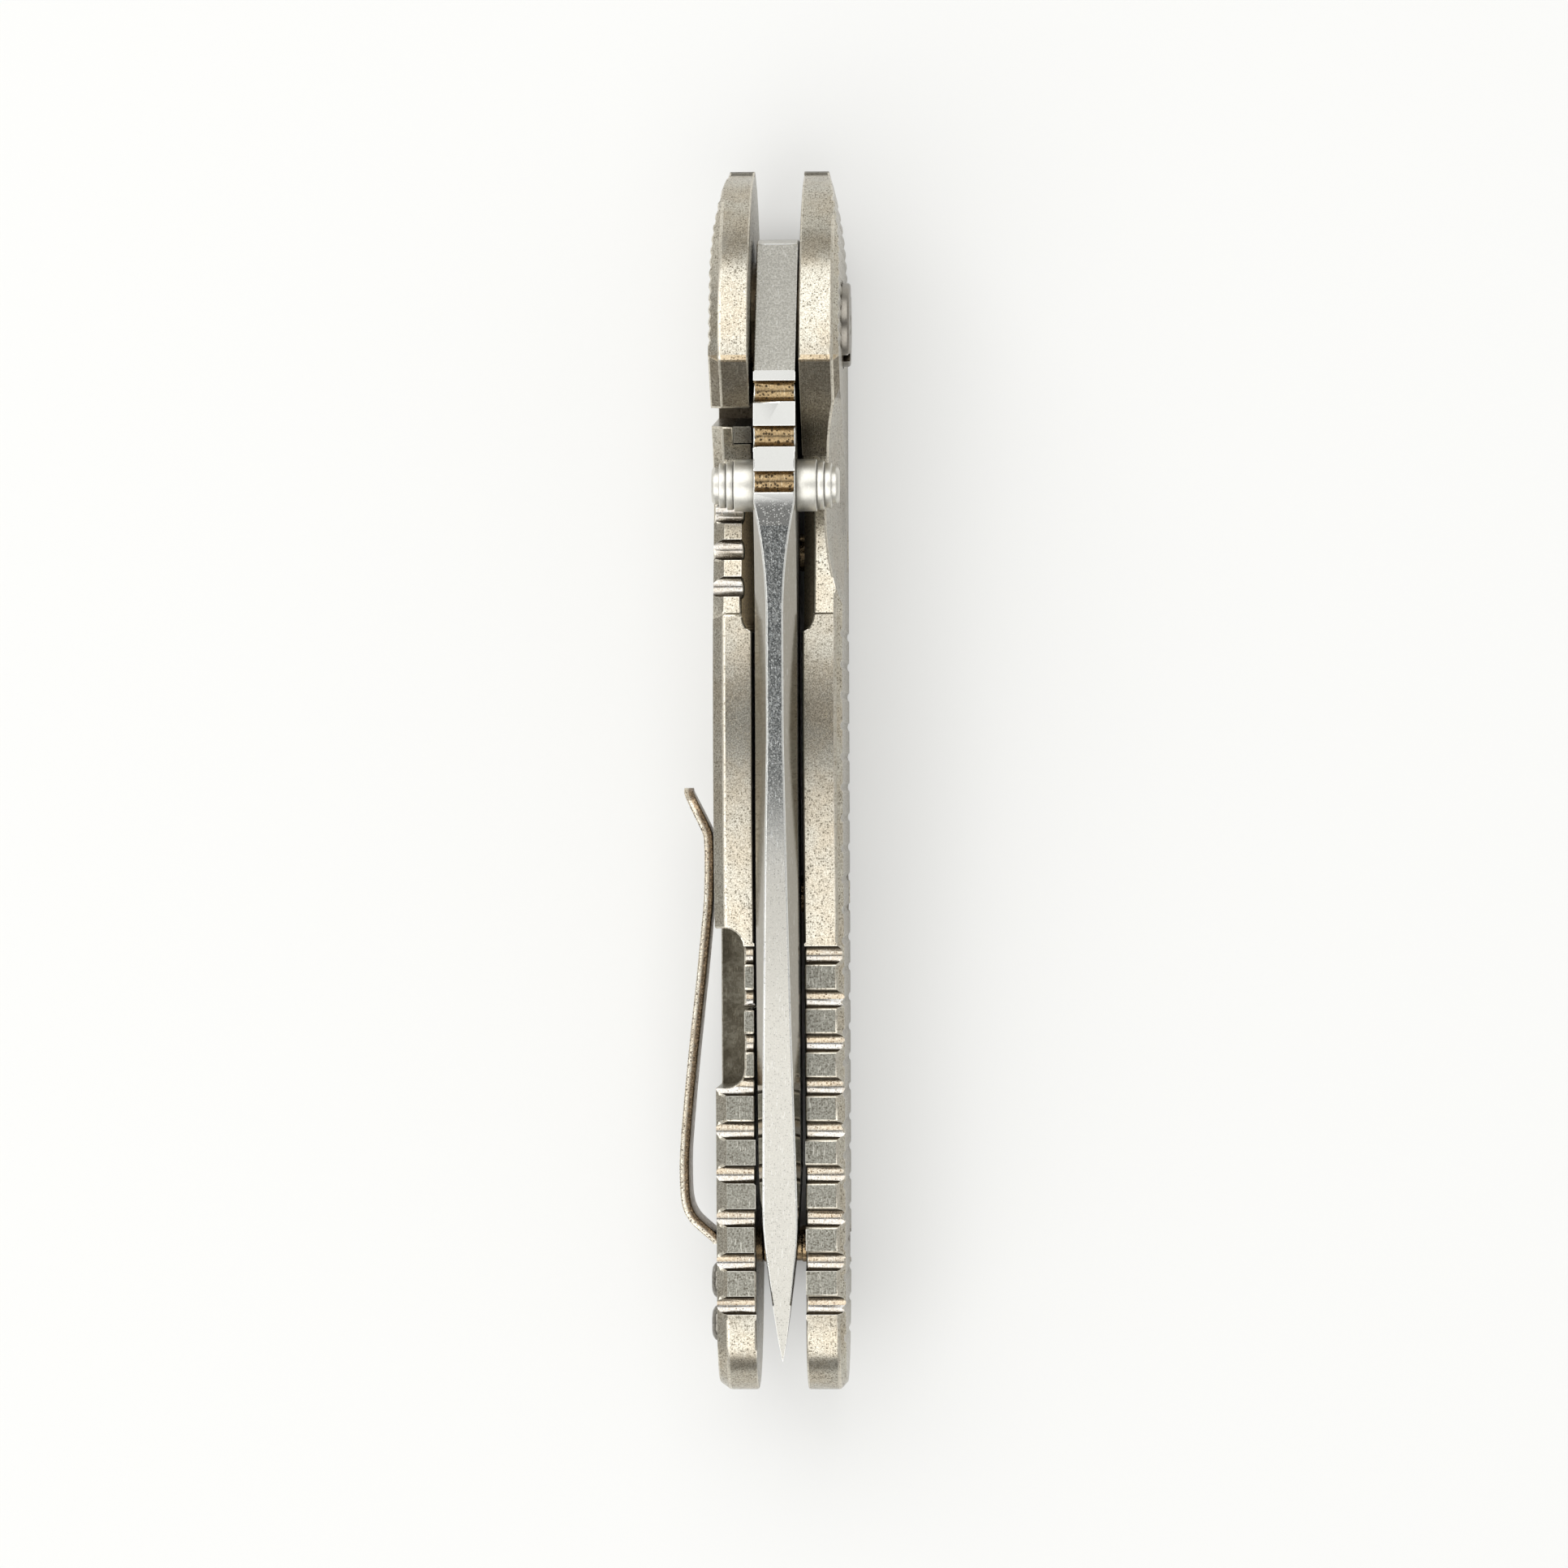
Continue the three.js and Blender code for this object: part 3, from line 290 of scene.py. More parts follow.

# Near-black colour that the painted shade in recesses darkens towards.
RECESS_SHADE_COLOUR = (0.03, 0.024, 0.016)
PITS_TO_GRAIN = 0.85
CLOUD_RANGE = (0.3, 0.7)
GRAIN_RANGE = (0.58, 0.42)
RING_RANGE = (0.52, 0.4)
CALM_MARKS = 0.12
PLAIN_BORDER = 0.08 * MM
INNER_RANGE = (-0.25, 0.15)
INNER_RAGGED = 1.6
INNER_STAIN = 0.8
GRAIN_ROUGHNESS = 0.08
PIT_ROUGHNESS = 0.2


def metal(name, colour, dark, bright, roughness, *, tint=None, grain=5200.0, mottle=0.4,
          pit_scale=None, pit_share=0.5, pit_depth=0.7, scratch=0.25, worn=0.8,
          wear_radius=0.2 * MM, shade_in_recesses=0.85, reach=1.4 * MM, rings=0.0, bump=0.006 * MM,
          metallic=1.0, calm=None, calm_colour=None, plain_colour=None, plain_from=None,
          inner=None):
    """A tumbled metal. Clouds shade its colour towards the tint. Grains, pits and lathe rings
    darken it, scratches and worn edges brighten it, and painted shade darkens it in recesses. With
    calm, the marks grow faint and the calm colour takes over between two places in metres along Y,
    from the second to the first. Beyond the place plain_from there is the plain colour and no mark.
    With inner, a swept strip has that stained colour on its inner half."""
    material, graph, shader = new_material(name)
    place = graph.node("TexCoord").outputs["Object"]
    wash = use_group(graph, STONE_WASH, vector=place, grain_scale=grain,
                     pit_scale=pit_scale or grain * PITS_TO_GRAIN, pit_share=pit_share)
    marks = 1.0
    shaded = graph.mix(graph.span(wash["Cloud"], *CLOUD_RANGE), colour, tint or colour)
    if calm:
        along = graph.along_axes(place)["Y"]
        marks = graph.span(along, *calm, CALM_MARKS, 1.0)
        kept = graph.span(along, plain_from, plain_from - PLAIN_BORDER)
        shaded = graph.mix(marks, calm_colour, shaded)
        shaded = graph.mix(kept, plain_colour, shaded)
        marks = graph.times(marks, kept)

    def shade(base, mask, amount, towards):
        return graph.mix(graph.times(mask, amount), base, towards)

    amounts = [graph.times(marks, each) for each in (mottle, scratch, pit_depth)]
    grains = graph.span(wash["Grain"], *GRAIN_RANGE)
    shaded = shade(shaded, grains, amounts[0], dark)
    shaded = shade(shaded, wash["Scratches"], amounts[1], bright)
    shaded = shade(shaded, wash["Pits"], amounts[2], dark)
    if inner:
        through = graph.along_axes(graph.node("UVMap", uv_map="strip").outputs["UV"])["Y"]
        uneven = graph.minus(wash["Grain"], 0.5)
        ragged = graph.plus(through, graph.times(uneven, INNER_RAGGED))
        stained = shade(inner, grains, INNER_STAIN, dark)
        shaded = graph.mix(graph.span(ragged, *INNER_RANGE), shaded, stained)
    if worn:
        wear = use_group(graph, EDGE_WEAR, radius=wear_radius, break_up=wash["Grain"])["Wear"]
        shaded = shade(shaded, wear, worn, bright)
    if rings:
        along = graph.along_axes(graph.node("UVMap", uv_map="turned").outputs["UV"])["X"]
        turned = use_group(graph, TURNING, along=along)["Rings"]
        shaded = shade(shaded, graph.span(turned, *RING_RANGE), rings, dark)
    # Painted shade: the colour darkens where little open space lies near, as in slots and recesses.
    if shade_in_recesses:
        recess_darkness = use_group(graph, RECESS_SHADE_GROUP, reach=reach)["Painted_Shade"]
        shaded = shade(shaded, recess_darkness, shade_in_recesses, RECESS_SHADE_COLOUR)
    graph.feed(shader.inputs["Base Color"], shaded)
    grained = graph.times(wash["Grain"], GRAIN_ROUGHNESS)
    rough = graph.plus(roughness - GRAIN_ROUGHNESS / 2, grained)
    rough = graph.plus(rough, graph.times(wash["Pits"], PIT_ROUGHNESS))
    graph.feed(shader.inputs["Roughness"], rough)
    shader.inputs["Metallic"].default_value = metallic
    relief = graph.node("Bump")
    graph.feed(relief.inputs["Strength"], marks)
    relief.inputs["Distance"].default_value = bump
    graph.feed(relief.inputs["Height"], wash["Height"])
    graph.feed(shader.inputs["Normal"], relief.outputs["Normal"])
    return material


# ---------------- finishes

DEEP = 3.0 * MM
SPECKLE_START = 25.4 * MM
FINISH = {
    "titanium": metal(
        "stone_washed_titanium", (0.55, 0.525, 0.45), (0.13, 0.11, 0.078),
        (0.85, 0.82, 0.73), 0.24, grain=6200.0, mottle=0.5, tint=(0.51, 0.455, 0.36),
        reach=DEEP, pit_depth=0.65, pit_scale=4500.0, bump=0.001 * MM),
    "worn_titanium": metal(
        "worn_titanium_edge", (0.66, 0.62, 0.53), (0.3, 0.26, 0.19),
        (0.88, 0.86, 0.80), 0.3, worn=0.0, mottle=0.35, reach=DEEP),
    "land": metal(
        "grip_land_titanium", (0.31, 0.305, 0.265), (0.1, 0.088, 0.066),
        (0.74, 0.72, 0.64), 0.3, mottle=0.6, scratch=0.45, reach=DEEP, bump=0.003 * MM),
    # Painted reflections in the grip grooves: gold on faces turned back towards the tail, white on
    # faces turned forward. The lock bar's thumb grooves take the white all round.
    "groove_gold_painted_reflection": metal(
        "groove_painted_gold_reflection", (0.5, 0.425, 0.315), (0.2, 0.13, 0.07),
        (0.86, 0.8, 0.7), 0.24, pit_share=0.4, mottle=0.45, worn=0.0,
        tint=(0.46, 0.43, 0.37), shade_in_recesses=0.35),
    "groove_white_and_painted_reflection": metal(
        "bright_groove_and_painted_reflection", (0.53, 0.53, 0.52), (0.28, 0.22, 0.15),
        (0.9, 0.9, 0.9), 0.2, pit_share=0.3, worn=0.0, tint=(0.48, 0.44, 0.38), shade_in_recesses=0.25),
    # Painted dark shade: the steep lips of the grooves, the floor of the lock slot and the notches
    # in the pivot heads.
    "dark_painted_shade": metal(
        "near_black_painted_shade", (0.07, 0.058, 0.042), (0.03, 0.022, 0.015),
        (0.3, 0.27, 0.22), 0.3, worn=0.0),
    # Painted shade on the steep wall below the guard, where the studs and the blade's belly and
    # scoop keep light off.
    "wall": metal(
        "guard_wall_painted_shade", (0.27, 0.245, 0.195), (0.09, 0.072, 0.05),
        (0.6, 0.55, 0.45), 0.3, mottle=0.6, tint=(0.22, 0.19, 0.14), reach=DEEP),
    # Painted light on the reliefs beside the blade: a lit gold copy for the lock bar and a shaded
    # dark brown copy for the slabs, both hardly metallic.
    "relief_painted_lit": metal(
        "relief_painted_lit_gold", (0.75, 0.6, 0.38), (0.3, 0.22, 0.13),
        (0.8, 0.72, 0.56), 0.5, mottle=0.5, worn=0.3, shade_in_recesses=0.0, metallic=0.0),
    "relief_painted_shade": metal(
        "relief_painted_shade_brown", (0.36, 0.3, 0.2), (0.06, 0.045, 0.03),
        (0.5, 0.43, 0.32), 0.5, mottle=0.5, worn=0.3, shade_in_recesses=0.0, metallic=0.1),
    "pocket": metal(
        "shaded_pocket", (0.2, 0.185, 0.145), (0.05, 0.04, 0.026),
        (0.5, 0.45, 0.34), 0.4, grain=2200.0, mottle=0.5, tint=(0.1, 0.088, 0.064),
        pit_share=0.1, worn=0.0, shade_in_recesses=0.4, reach=DEEP),
    "burnished": metal(
        "burnished_guard_edge", (0.42, 0.34, 0.23), (0.2, 0.15, 0.09),
        (0.8, 0.72, 0.58), 0.22, worn=0.0, tint=(0.5, 0.42, 0.3)),
    "cap": metal(
        "nose_cap_titanium", (0.17, 0.155, 0.125), (0.08, 0.07, 0.05),
        (0.5, 0.47, 0.4), 0.3),
    "blade": metal(
        "satin_blade", (0.44, 0.43, 0.39), (0.2, 0.19, 0.17),
        (0.9, 0.9, 0.88), 0.24, pit_share=0.15, scratch=0.4, mottle=0.3, reach=DEEP),
    "worn_blade": metal(
        "worn_blade_edge", (0.84, 0.84, 0.81), (0.5, 0.5, 0.48),
        (0.95, 0.95, 0.93), 0.2, worn=0.0, mottle=0.15, shade_in_recesses=0.2),
    "tang": metal(
        "brushed_tang", (0.58, 0.565, 0.51), (0.24, 0.23, 0.2),
        (0.9, 0.89, 0.85), 0.24, pit_share=0.2, scratch=0.4, shade_in_recesses=0.3),
    "blade_land": metal(
        "polished_blade_land", (0.425, 0.425, 0.41), (0.3, 0.3, 0.28),
        (0.8, 0.8, 0.78), 0.26, pit_share=0.0, scratch=0.0, mottle=0.06, shade_in_recesses=0.0,
        bump=0.001 * MM),
    "spine": metal(
        "speckled_spine", (0.55, 0.565, 0.55), (0.09, 0.1, 0.105),
        (0.95, 0.96, 0.95), 0.2, grain=6000.0, pit_share=0.45, scratch=0.75, mottle=0.8,
        shade_in_recesses=0.2, worn=0.5, wear_radius=0.12 * MM, calm=(-0.012, 0.008),
        calm_colour=(0.335, 0.32, 0.285), plain_from=SPECKLE_START,
        plain_colour=(0.5, 0.5, 0.48)),
    "swedge": metal(
        "polished_swedge", (0.31, 0.285, 0.235), (0.14, 0.12, 0.09),
        (0.8, 0.79, 0.75), 0.09, pit_share=0.0, scratch=0.15, mottle=0.2,
        worn=0.0, shade_in_recesses=0.0, bump=0.001 * MM),
    "blade_groove": metal(
        "blade_groove", (0.31, 0.225, 0.12), (0.04, 0.028, 0.016),
        (0.75, 0.64, 0.45), 0.26, grain=4000.0, pit_share=0.6, pit_depth=0.9,
        tint=(0.27, 0.19, 0.1), worn=0.0, shade_in_recesses=0.3),
    "polished": metal(
        "polished_steel", (0.70, 0.685, 0.63), (0.3, 0.28, 0.23),
        (0.9, 0.89, 0.86), 0.42, pit_share=0.15, scratch=0.2, mottle=0.12,
        bump=0.002 * MM, rings=0.12, worn=0.5, wear_radius=0.1 * MM, reach=0.5 * MM),
    "screw": metal(
        "machined_screw", (0.33, 0.305, 0.265), (0.12, 0.1, 0.08),
        (0.8, 0.78, 0.73), 0.34, rings=0.35, wear_radius=0.12 * MM, reach=0.6 * MM),
    "pivot_head": metal(
        "plain_pivot_head", (0.3, 0.28, 0.245), (0.14, 0.12, 0.1),
        (0.8, 0.78, 0.73), 0.3, pit_share=0.2, scratch=0.1, mottle=0.2,
        wear_radius=0.12 * MM, reach=0.6 * MM, bump=0.002 * MM),
    "clip_screw": metal(
        "silver_clip_screw", (0.24, 0.225, 0.195), (0.06, 0.053, 0.043),
        (0.8, 0.79, 0.75), 0.16, rings=0.15, worn=0.6, wear_radius=0.1 * MM,
        reach=1.2 * MM, mottle=0.3, shade_in_recesses=1.0),
    "steel": metal(
        "machined_steel", (0.5, 0.49, 0.46), (0.2, 0.18, 0.15),
        (0.85, 0.84, 0.8), 0.28, reach=DEEP),
    "dark_steel": metal(
        "ground_steel", (0.3, 0.285, 0.25), (0.1, 0.09, 0.07),
        (0.7, 0.68, 0.62), 0.3),
    "bronze": metal(
        "bronze_post", (0.42, 0.31, 0.18), (0.12, 0.07, 0.03),
        (0.72, 0.6, 0.4), 0.26, rings=0.4),
    "washer": metal(
        "bronze_washer", (0.16, 0.12, 0.07), (0.05, 0.03, 0.02),
        (0.4, 0.32, 0.2), 0.4),
    "clip": metal(
        "bronzed_clip", (0.84, 0.79, 0.67), (0.07, 0.05, 0.034),
        (0.92, 0.89, 0.8), 0.28, pit_depth=0.8, mottle=0.5,
        tint=(0.72, 0.63, 0.49), inner=(0.3, 0.22, 0.14)),
    "clip_tab": metal(
        "bronzed_clip_tab", (0.5, 0.43, 0.33), (0.07, 0.05, 0.034),
        (0.88, 0.84, 0.75), 0.3, pit_share=0.6, mottle=0.6),
}

# ---------------- pieces copied from the frame

PIVOT = Vector((1.625, 46.25, 15.7)) * MM
CONVEX_LIMIT = math.radians(11.5)
CONCAVE_LIMIT = math.radians(32)
BEVEL_LIMIT = math.radians(26)
PLANAR = math.radians(0.08)
SIDE_FACING = 0.7
FOLD = math.radians(120)
ROUNDING_TRIES = 8
ROUNDING_REACH = (0.75, 1.6)
MERGE_DISTANCE = 0.002 * MM
SHORTEST_EDGE = 0.004 * MM
GROOVE_MARGIN = 0.03

GRIP_GROOVES = {"first": -63.95, "pitch": 4.43, "count": 9, "height": 5.71, "fall": 0.0323,
                "radius": 0.95}
SPINE_GROOVES = {"first": -7.35, "pitch": 4.55, "count": 3, "height": 13.12, "fall": -0.1539,
                 "radius": 1.1}
THUMB_GROOVES = {"first": -19.2, "pitch": 3.75, "count": 3, "height": 4.55, "fall": -0.09,
                 "radius": 1.25}


def in_grooves(centres, grooves):
    """Which face centres lie inside a row of round grooves: nearer to an axis than its radius."""
    along = (centres[:, 1] - PIVOT.y) / MM
    up = (centres[:, 2] - PIVOT.z) / MM
    nearest = np.round((grooves["first"] - along) / grooves["pitch"])
    nearest = np.clip(nearest, 0, grooves["count"] - 1)
    axis_y = grooves["first"] - nearest * grooves["pitch"]
    axis_z = grooves["height"] + (axis_y - grooves["first"]) * grooves["fall"]
    return np.hypot(along - axis_y, up - axis_z) < grooves["radius"] + GROOVE_MARGIN


def merged_copy(node):
    """A CAD node's mesh, merged and with evenly laid triangles, with its creases marked sharp,
    and the numbers of the edges at its outer corners. An edge between two side-facing faces, as
    in the outer texture, is no corner."""
    shape = bmesh.new()
    shape.from_mesh(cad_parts[node].data)
    bmesh.ops.remove_doubles(shape, verts=shape.verts, dist=MERGE_DISTANCE)
    bmesh.ops.dissolve_degenerate(shape, dist=SHORTEST_EDGE, edges=shape.edges)
    bmesh.ops.triangulate(shape, faces=shape.faces)
    flat = [edge for edge in shape.edges if abs(edge.calc_face_angle_signed(1)) < PLANAR]
    bmesh.ops.beautify_fill(shape, faces=shape.faces, edges=flat, method="ANGLE")
    shape.edges.index_update()
    corners = []
    for edge in shape.edges:
        bend = edge.calc_face_angle_signed(0)
        edge.smooth = -CONCAVE_LIMIT < bend < CONVEX_LIMIT
        sides = all(abs(face.normal.x) > SIDE_FACING for face in edge.link_faces)
        if bend > BEVEL_LIMIT and not sides:
            corners.append(edge.index)
    for face in shape.faces:
        face.smooth = True
    return shape, corners


def folded_places(shape):
    """The ends of the edges at which a shape's triangles fold back on each other."""
    trial = shape.copy()
    bmesh.ops.triangulate(trial, faces=trial.faces)
    trial.normal_update()
    places = [list(vert.co) for edge in trial.edges if edge.calc_face_angle(0) > FOLD
              for vert in edge.verts]
    trial.free()
    return np.array(places).reshape(-1, 3)


def distance_to_lines(start, end, places):
    """For each line from start to end, the distance to the nearest of the places: that of the
    place from its foot on the line, with the foot held between the line's ends."""
    no_length = 1e-18
    run = (end - start)[:, None]
    offset = places[None] - start[:, None]
    share = (offset * run).sum(-1) / np.maximum((run * run).sum(-1), no_length)
    nearest = np.clip(share, 0, 1)[..., None] * run
    return np.linalg.norm(offset - nearest, axis=-1).min(axis=1)


def rounded_mesh(node, width):
    """A CAD node's mesh with its outer corners rounded. Where the rounding would fold faces
    over, the corners close by stay as they are, at first those very near and later those
    farther off too. The rounding has the second material, and a crisp border, so that the
    faces beside it look flat."""
    shape, corners = merged_copy(node)
    shape.edges.ensure_lookup_table()
    for attempt in range(ROUNDING_TRIES):
        trial = shape.copy()
        trial.edges.ensure_lookup_table()
        bmesh.ops.bevel(
            trial, geom=[trial.edges[i] for i in corners], offset=width, offset_type="OFFSET",
            segments=3, profile=0.5, affect="EDGES", material=1, loop_slide=True)
        folds = folded_places(trial)
        if len(folds) == 0 or attempt == ROUNDING_TRIES - 1:
            break
        trial.free()
        ends = np.array([[v.co for v in shape.edges[i].verts] for i in corners])
        reach = ROUNDING_REACH[attempt >= ROUNDING_TRIES // 2] * width
        clear = distance_to_lines(ends[:, 0], ends[:, 1], folds) > reach
        corners = [i for i, kept in zip(corners, clear) if kept]
    for edge in trial.edges:
        if sum(face.material_index for face in edge.link_faces) == 1:
            edge.smooth = False
    mesh = bpy.data.meshes.new(node + "_finished")
    trial.to_mesh(mesh)
    trial.free()
    shape.free()
    return mesh


def face_values(mesh):
    """The centres and outward normals of a mesh's faces, as arrays."""
    count = len(mesh.polygons)
    centres = np.empty(count * 3)
    normals = np.empty(count * 3)
    mesh.polygons.foreach_get("center", centres)
    mesh.polygons.foreach_get("normal", normals)
    return centres.reshape(-1, 3), normals.reshape(-1, 3)


def show_piece(mesh, node, body):
    """Links a new piece, hides the CAD node that it replaces, and hangs it on the body that it
    rides on."""
    piece = bpy.data.objects.new(node + "_finished", mesh)
    bpy.context.scene.collection.objects.link(piece)
    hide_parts(node)
    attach(piece, body)


def assign_finishes(mesh, finishes, zones):
    """Gives a mesh its finishes by face: the first everywhere, then each zone's own, in order.
    The rounded corners keep theirs, the second."""
    for finish in finishes:
        mesh.materials.append(FINISH[finish])
    slots = np.empty(len(mesh.polygons), dtype=np.int32)
    mesh.polygons.foreach_get("material_index", slots)
    broad = slots != 1
    for finish, chosen in zones:
        slots[chosen & broad] = finishes.index(finish)
    mesh.polygons.foreach_set("material_index", slots)


def between(values, low, high):
    """Which values lie between two limits."""
    return (values > low) & (values < high)


SLAB_FINISHES = ("titanium", "worn_titanium", "land", "groove_gold_painted_reflection", "groove_white_and_painted_reflection",
                 "dark_painted_shade", "wall", "burnished", "cap", "relief_painted_lit", "relief_painted_shade",
                 "pocket")
CUT_FLOOR = (-7.2, -6.6)
RELIEF = {"along": (-31.8, -14.4), "across": (2.58, 3.74)}
POCKET = {"along": (-77.6, -59.8), "across": 3.3, "below": 3}
SLAB_ROUNDING = 0.19 * MM
GRIP_START = -63.0
GRIP_END = -100.0
GUARD_FOOT = {"y": -13.6, "z": 5.9}
GUARD_TOP = {"y": -4.62, "z": 14.9}
GUARD_EDGE = {"along": (-4.75, -3.88), "drop": 0.2}
CAP = {"start": 15.4, "up": (-3.7, -2.1)}
FACING = {"level": 0.1, "sideways": 0.5, "upward": 0.9, "rising": 0.3, "steep": 0.8,
          "backward": -0.4}


def dress_slab(node, body):
    """A handle plate: tumbled flats, bright worn edges, duller lands between grip grooves with
    painted reflections, gold where they face back and white where they face forward, painted dark
    shade on the grooves' steep lips and on the lock slot's floor, painted shade on the wall below
    the guard's burnished edge, a dark nose cap, reliefs beside the blade with painted light, lit
    gold on the lock bar and shaded brown on the slabs, and on the lock side a shaded pocket. A
    face has its finish by its place, in millimetres from the pivot, and by the way it faces."""
    mesh = rounded_mesh(node, SLAB_ROUNDING)
    centres, normals = face_values(mesh)
    along = (centres[:, 1] - PIVOT.y) / MM
    up = (centres[:, 2] - PIVOT.z) / MM
    across = np.abs(centres[:, 0] - PIVOT.x) / MM
    sideways = np.abs(normals[:, 0])
    upward = normals[:, 2] > FACING["upward"]
    level = sideways < FACING["level"]
    thumb = in_grooves(centres, THUMB_GROOVES) & (node == "lock_bar") & level
    groove = in_grooves(centres, GRIP_GROOVES) & level
    relief = between(along, *RELIEF["along"]) & between(across, *RELIEF["across"])
    relief &= (up > 0) & (sideways > FACING["sideways"])
    pocket = between(along, *POCKET["along"]) & (across > POCKET["across"])
    pocket &= (up < POCKET["below"]) & (normals[:, 2] > FACING["rising"])
    pocket &= node != "show_side_slab"
    cut_floor = between(up, *CUT_FLOOR) & upward & (node == "lock_side_slab")
    steep = np.abs(normals[:, 1]) > FACING["steep"]
    guard = between(along, GUARD_FOOT["y"], GUARD_TOP["y"]) & (up > GUARD_FOOT["z"])
    guard &= (normals[:, 1] < FACING["backward"]) & (node != "lock_bar")
    guard_edge = between(along, *GUARD_EDGE["along"]) & (up > GUARD_TOP["z"] - GUARD_EDGE["drop"])
    # Painted light by zone: shade on the guard wall, dark shade on the lock slot's floor and the
    # steep groove lips, lit gold or shaded brown on the reliefs, and gold and white reflections in
    # the grip grooves.
    assign_finishes(mesh, SLAB_FINISHES, (
        ("land", between(along, GRIP_END, GRIP_START) & upward),
        ("wall", guard),
        ("dark_painted_shade", cut_floor),
        ("burnished", guard_edge),
        ("cap", (along > CAP["start"]) & between(up, *CAP["up"])),
        ("relief_painted_lit" if node == "lock_bar" else "relief_painted_shade", relief),
        ("pocket", pocket),
        ("groove_white_and_painted_reflection", thumb),
        # Painted reflections: gold where a grip groove's face turns back, white where it turns
        # forward.
        ("groove_gold_painted_reflection", groove & (normals[:, 1] <= 0)),
        ("groove_white_and_painted_reflection", groove & (normals[:, 1] > 0)),
        ("dark_painted_shade", (groove | thumb) & steep)))
    show_piece(mesh, node, body)


BLADE_FINISHES = ("blade", "worn_blade", "spine", "tang", "blade_land", "swedge",
                  "blade_groove")
BLADE_ROUNDING = 0.14 * MM
TANG_TOP = -5.2
SPINE_START = -18.3
BACK_FACING = 0.2
FLANK_FACING = 0.99
SWEDGE_RISE = 0.1


def dress_blade():
    """The blade: brushed tang, speckled spine, polished swedges, satin flanks, brown grooves."""
    mesh = rounded_mesh("blade", BLADE_ROUNDING)
    centres, normals = face_values(mesh)
    along = (centres[:, 1] - PIVOT.y) / MM
    sideways = np.abs(normals[:, 0])
    back = sideways < BACK_FACING
    assign_finishes(mesh, BLADE_FINISHES, (
        ("spine", back),
        ("blade_land", back & (along > SPINE_START)),
        ("tang", back & (along > TANG_TOP)),
        ("swedge", ~back & (sideways < FLANK_FACING) & (normals[:, 2] > SWEDGE_RISE)),
        ("blade_groove", back & in_grooves(centres, SPINE_GROOVES))))
    show_piece(mesh, "blade", "blade")


def dress(node, finish):
    """Gives a CAD node that stays as it is its material."""
    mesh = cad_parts[node].data
    mesh.materials.clear()
    mesh.materials.append(FINISH[finish])


# ---------------- turned pieces


TURNED_CREASE = math.radians(38)
STRIP_CREASE = math.radians(40)
SIDES = ((1, "show"), (-1, "lock"))
AXIS_RADIUS = 0.02
STUD_TURNS = 128
PIVOT_TURNS = 240
POST_TURNS = 64


def loop_quads(rows, around):
    """The quads between closed loops of points, one loop a row, numbered row by row."""
    row, column = np.meshgrid(np.arange(rows - 1), np.arange(around), indexing="ij")
    following = (column + 1) % around
    quads = np.stack([row * around + column, row * around + following,
                      (row + 1) * around + following, (row + 1) * around + column], axis=-1)
    return quads.reshape(-1, 4)


def keep_coordinates(mesh, name, values):
    """Keeps a pair of values for each point of a mesh, as the UV map of the given name."""
    corners = np.empty(len(mesh.loops), dtype=np.int32)
    mesh.loops.foreach_get("vertex_index", corners)
    mesh.uv_layers.new(name=name).data.foreach_set("uv", values[corners].ravel())


def star(turns, lobes=6, depth=0.13):
    """A six-lobed star's radius over its mean radius at each turn: one plus a cosine wave."""
    return 1 + depth * np.cos(lobes * turns)


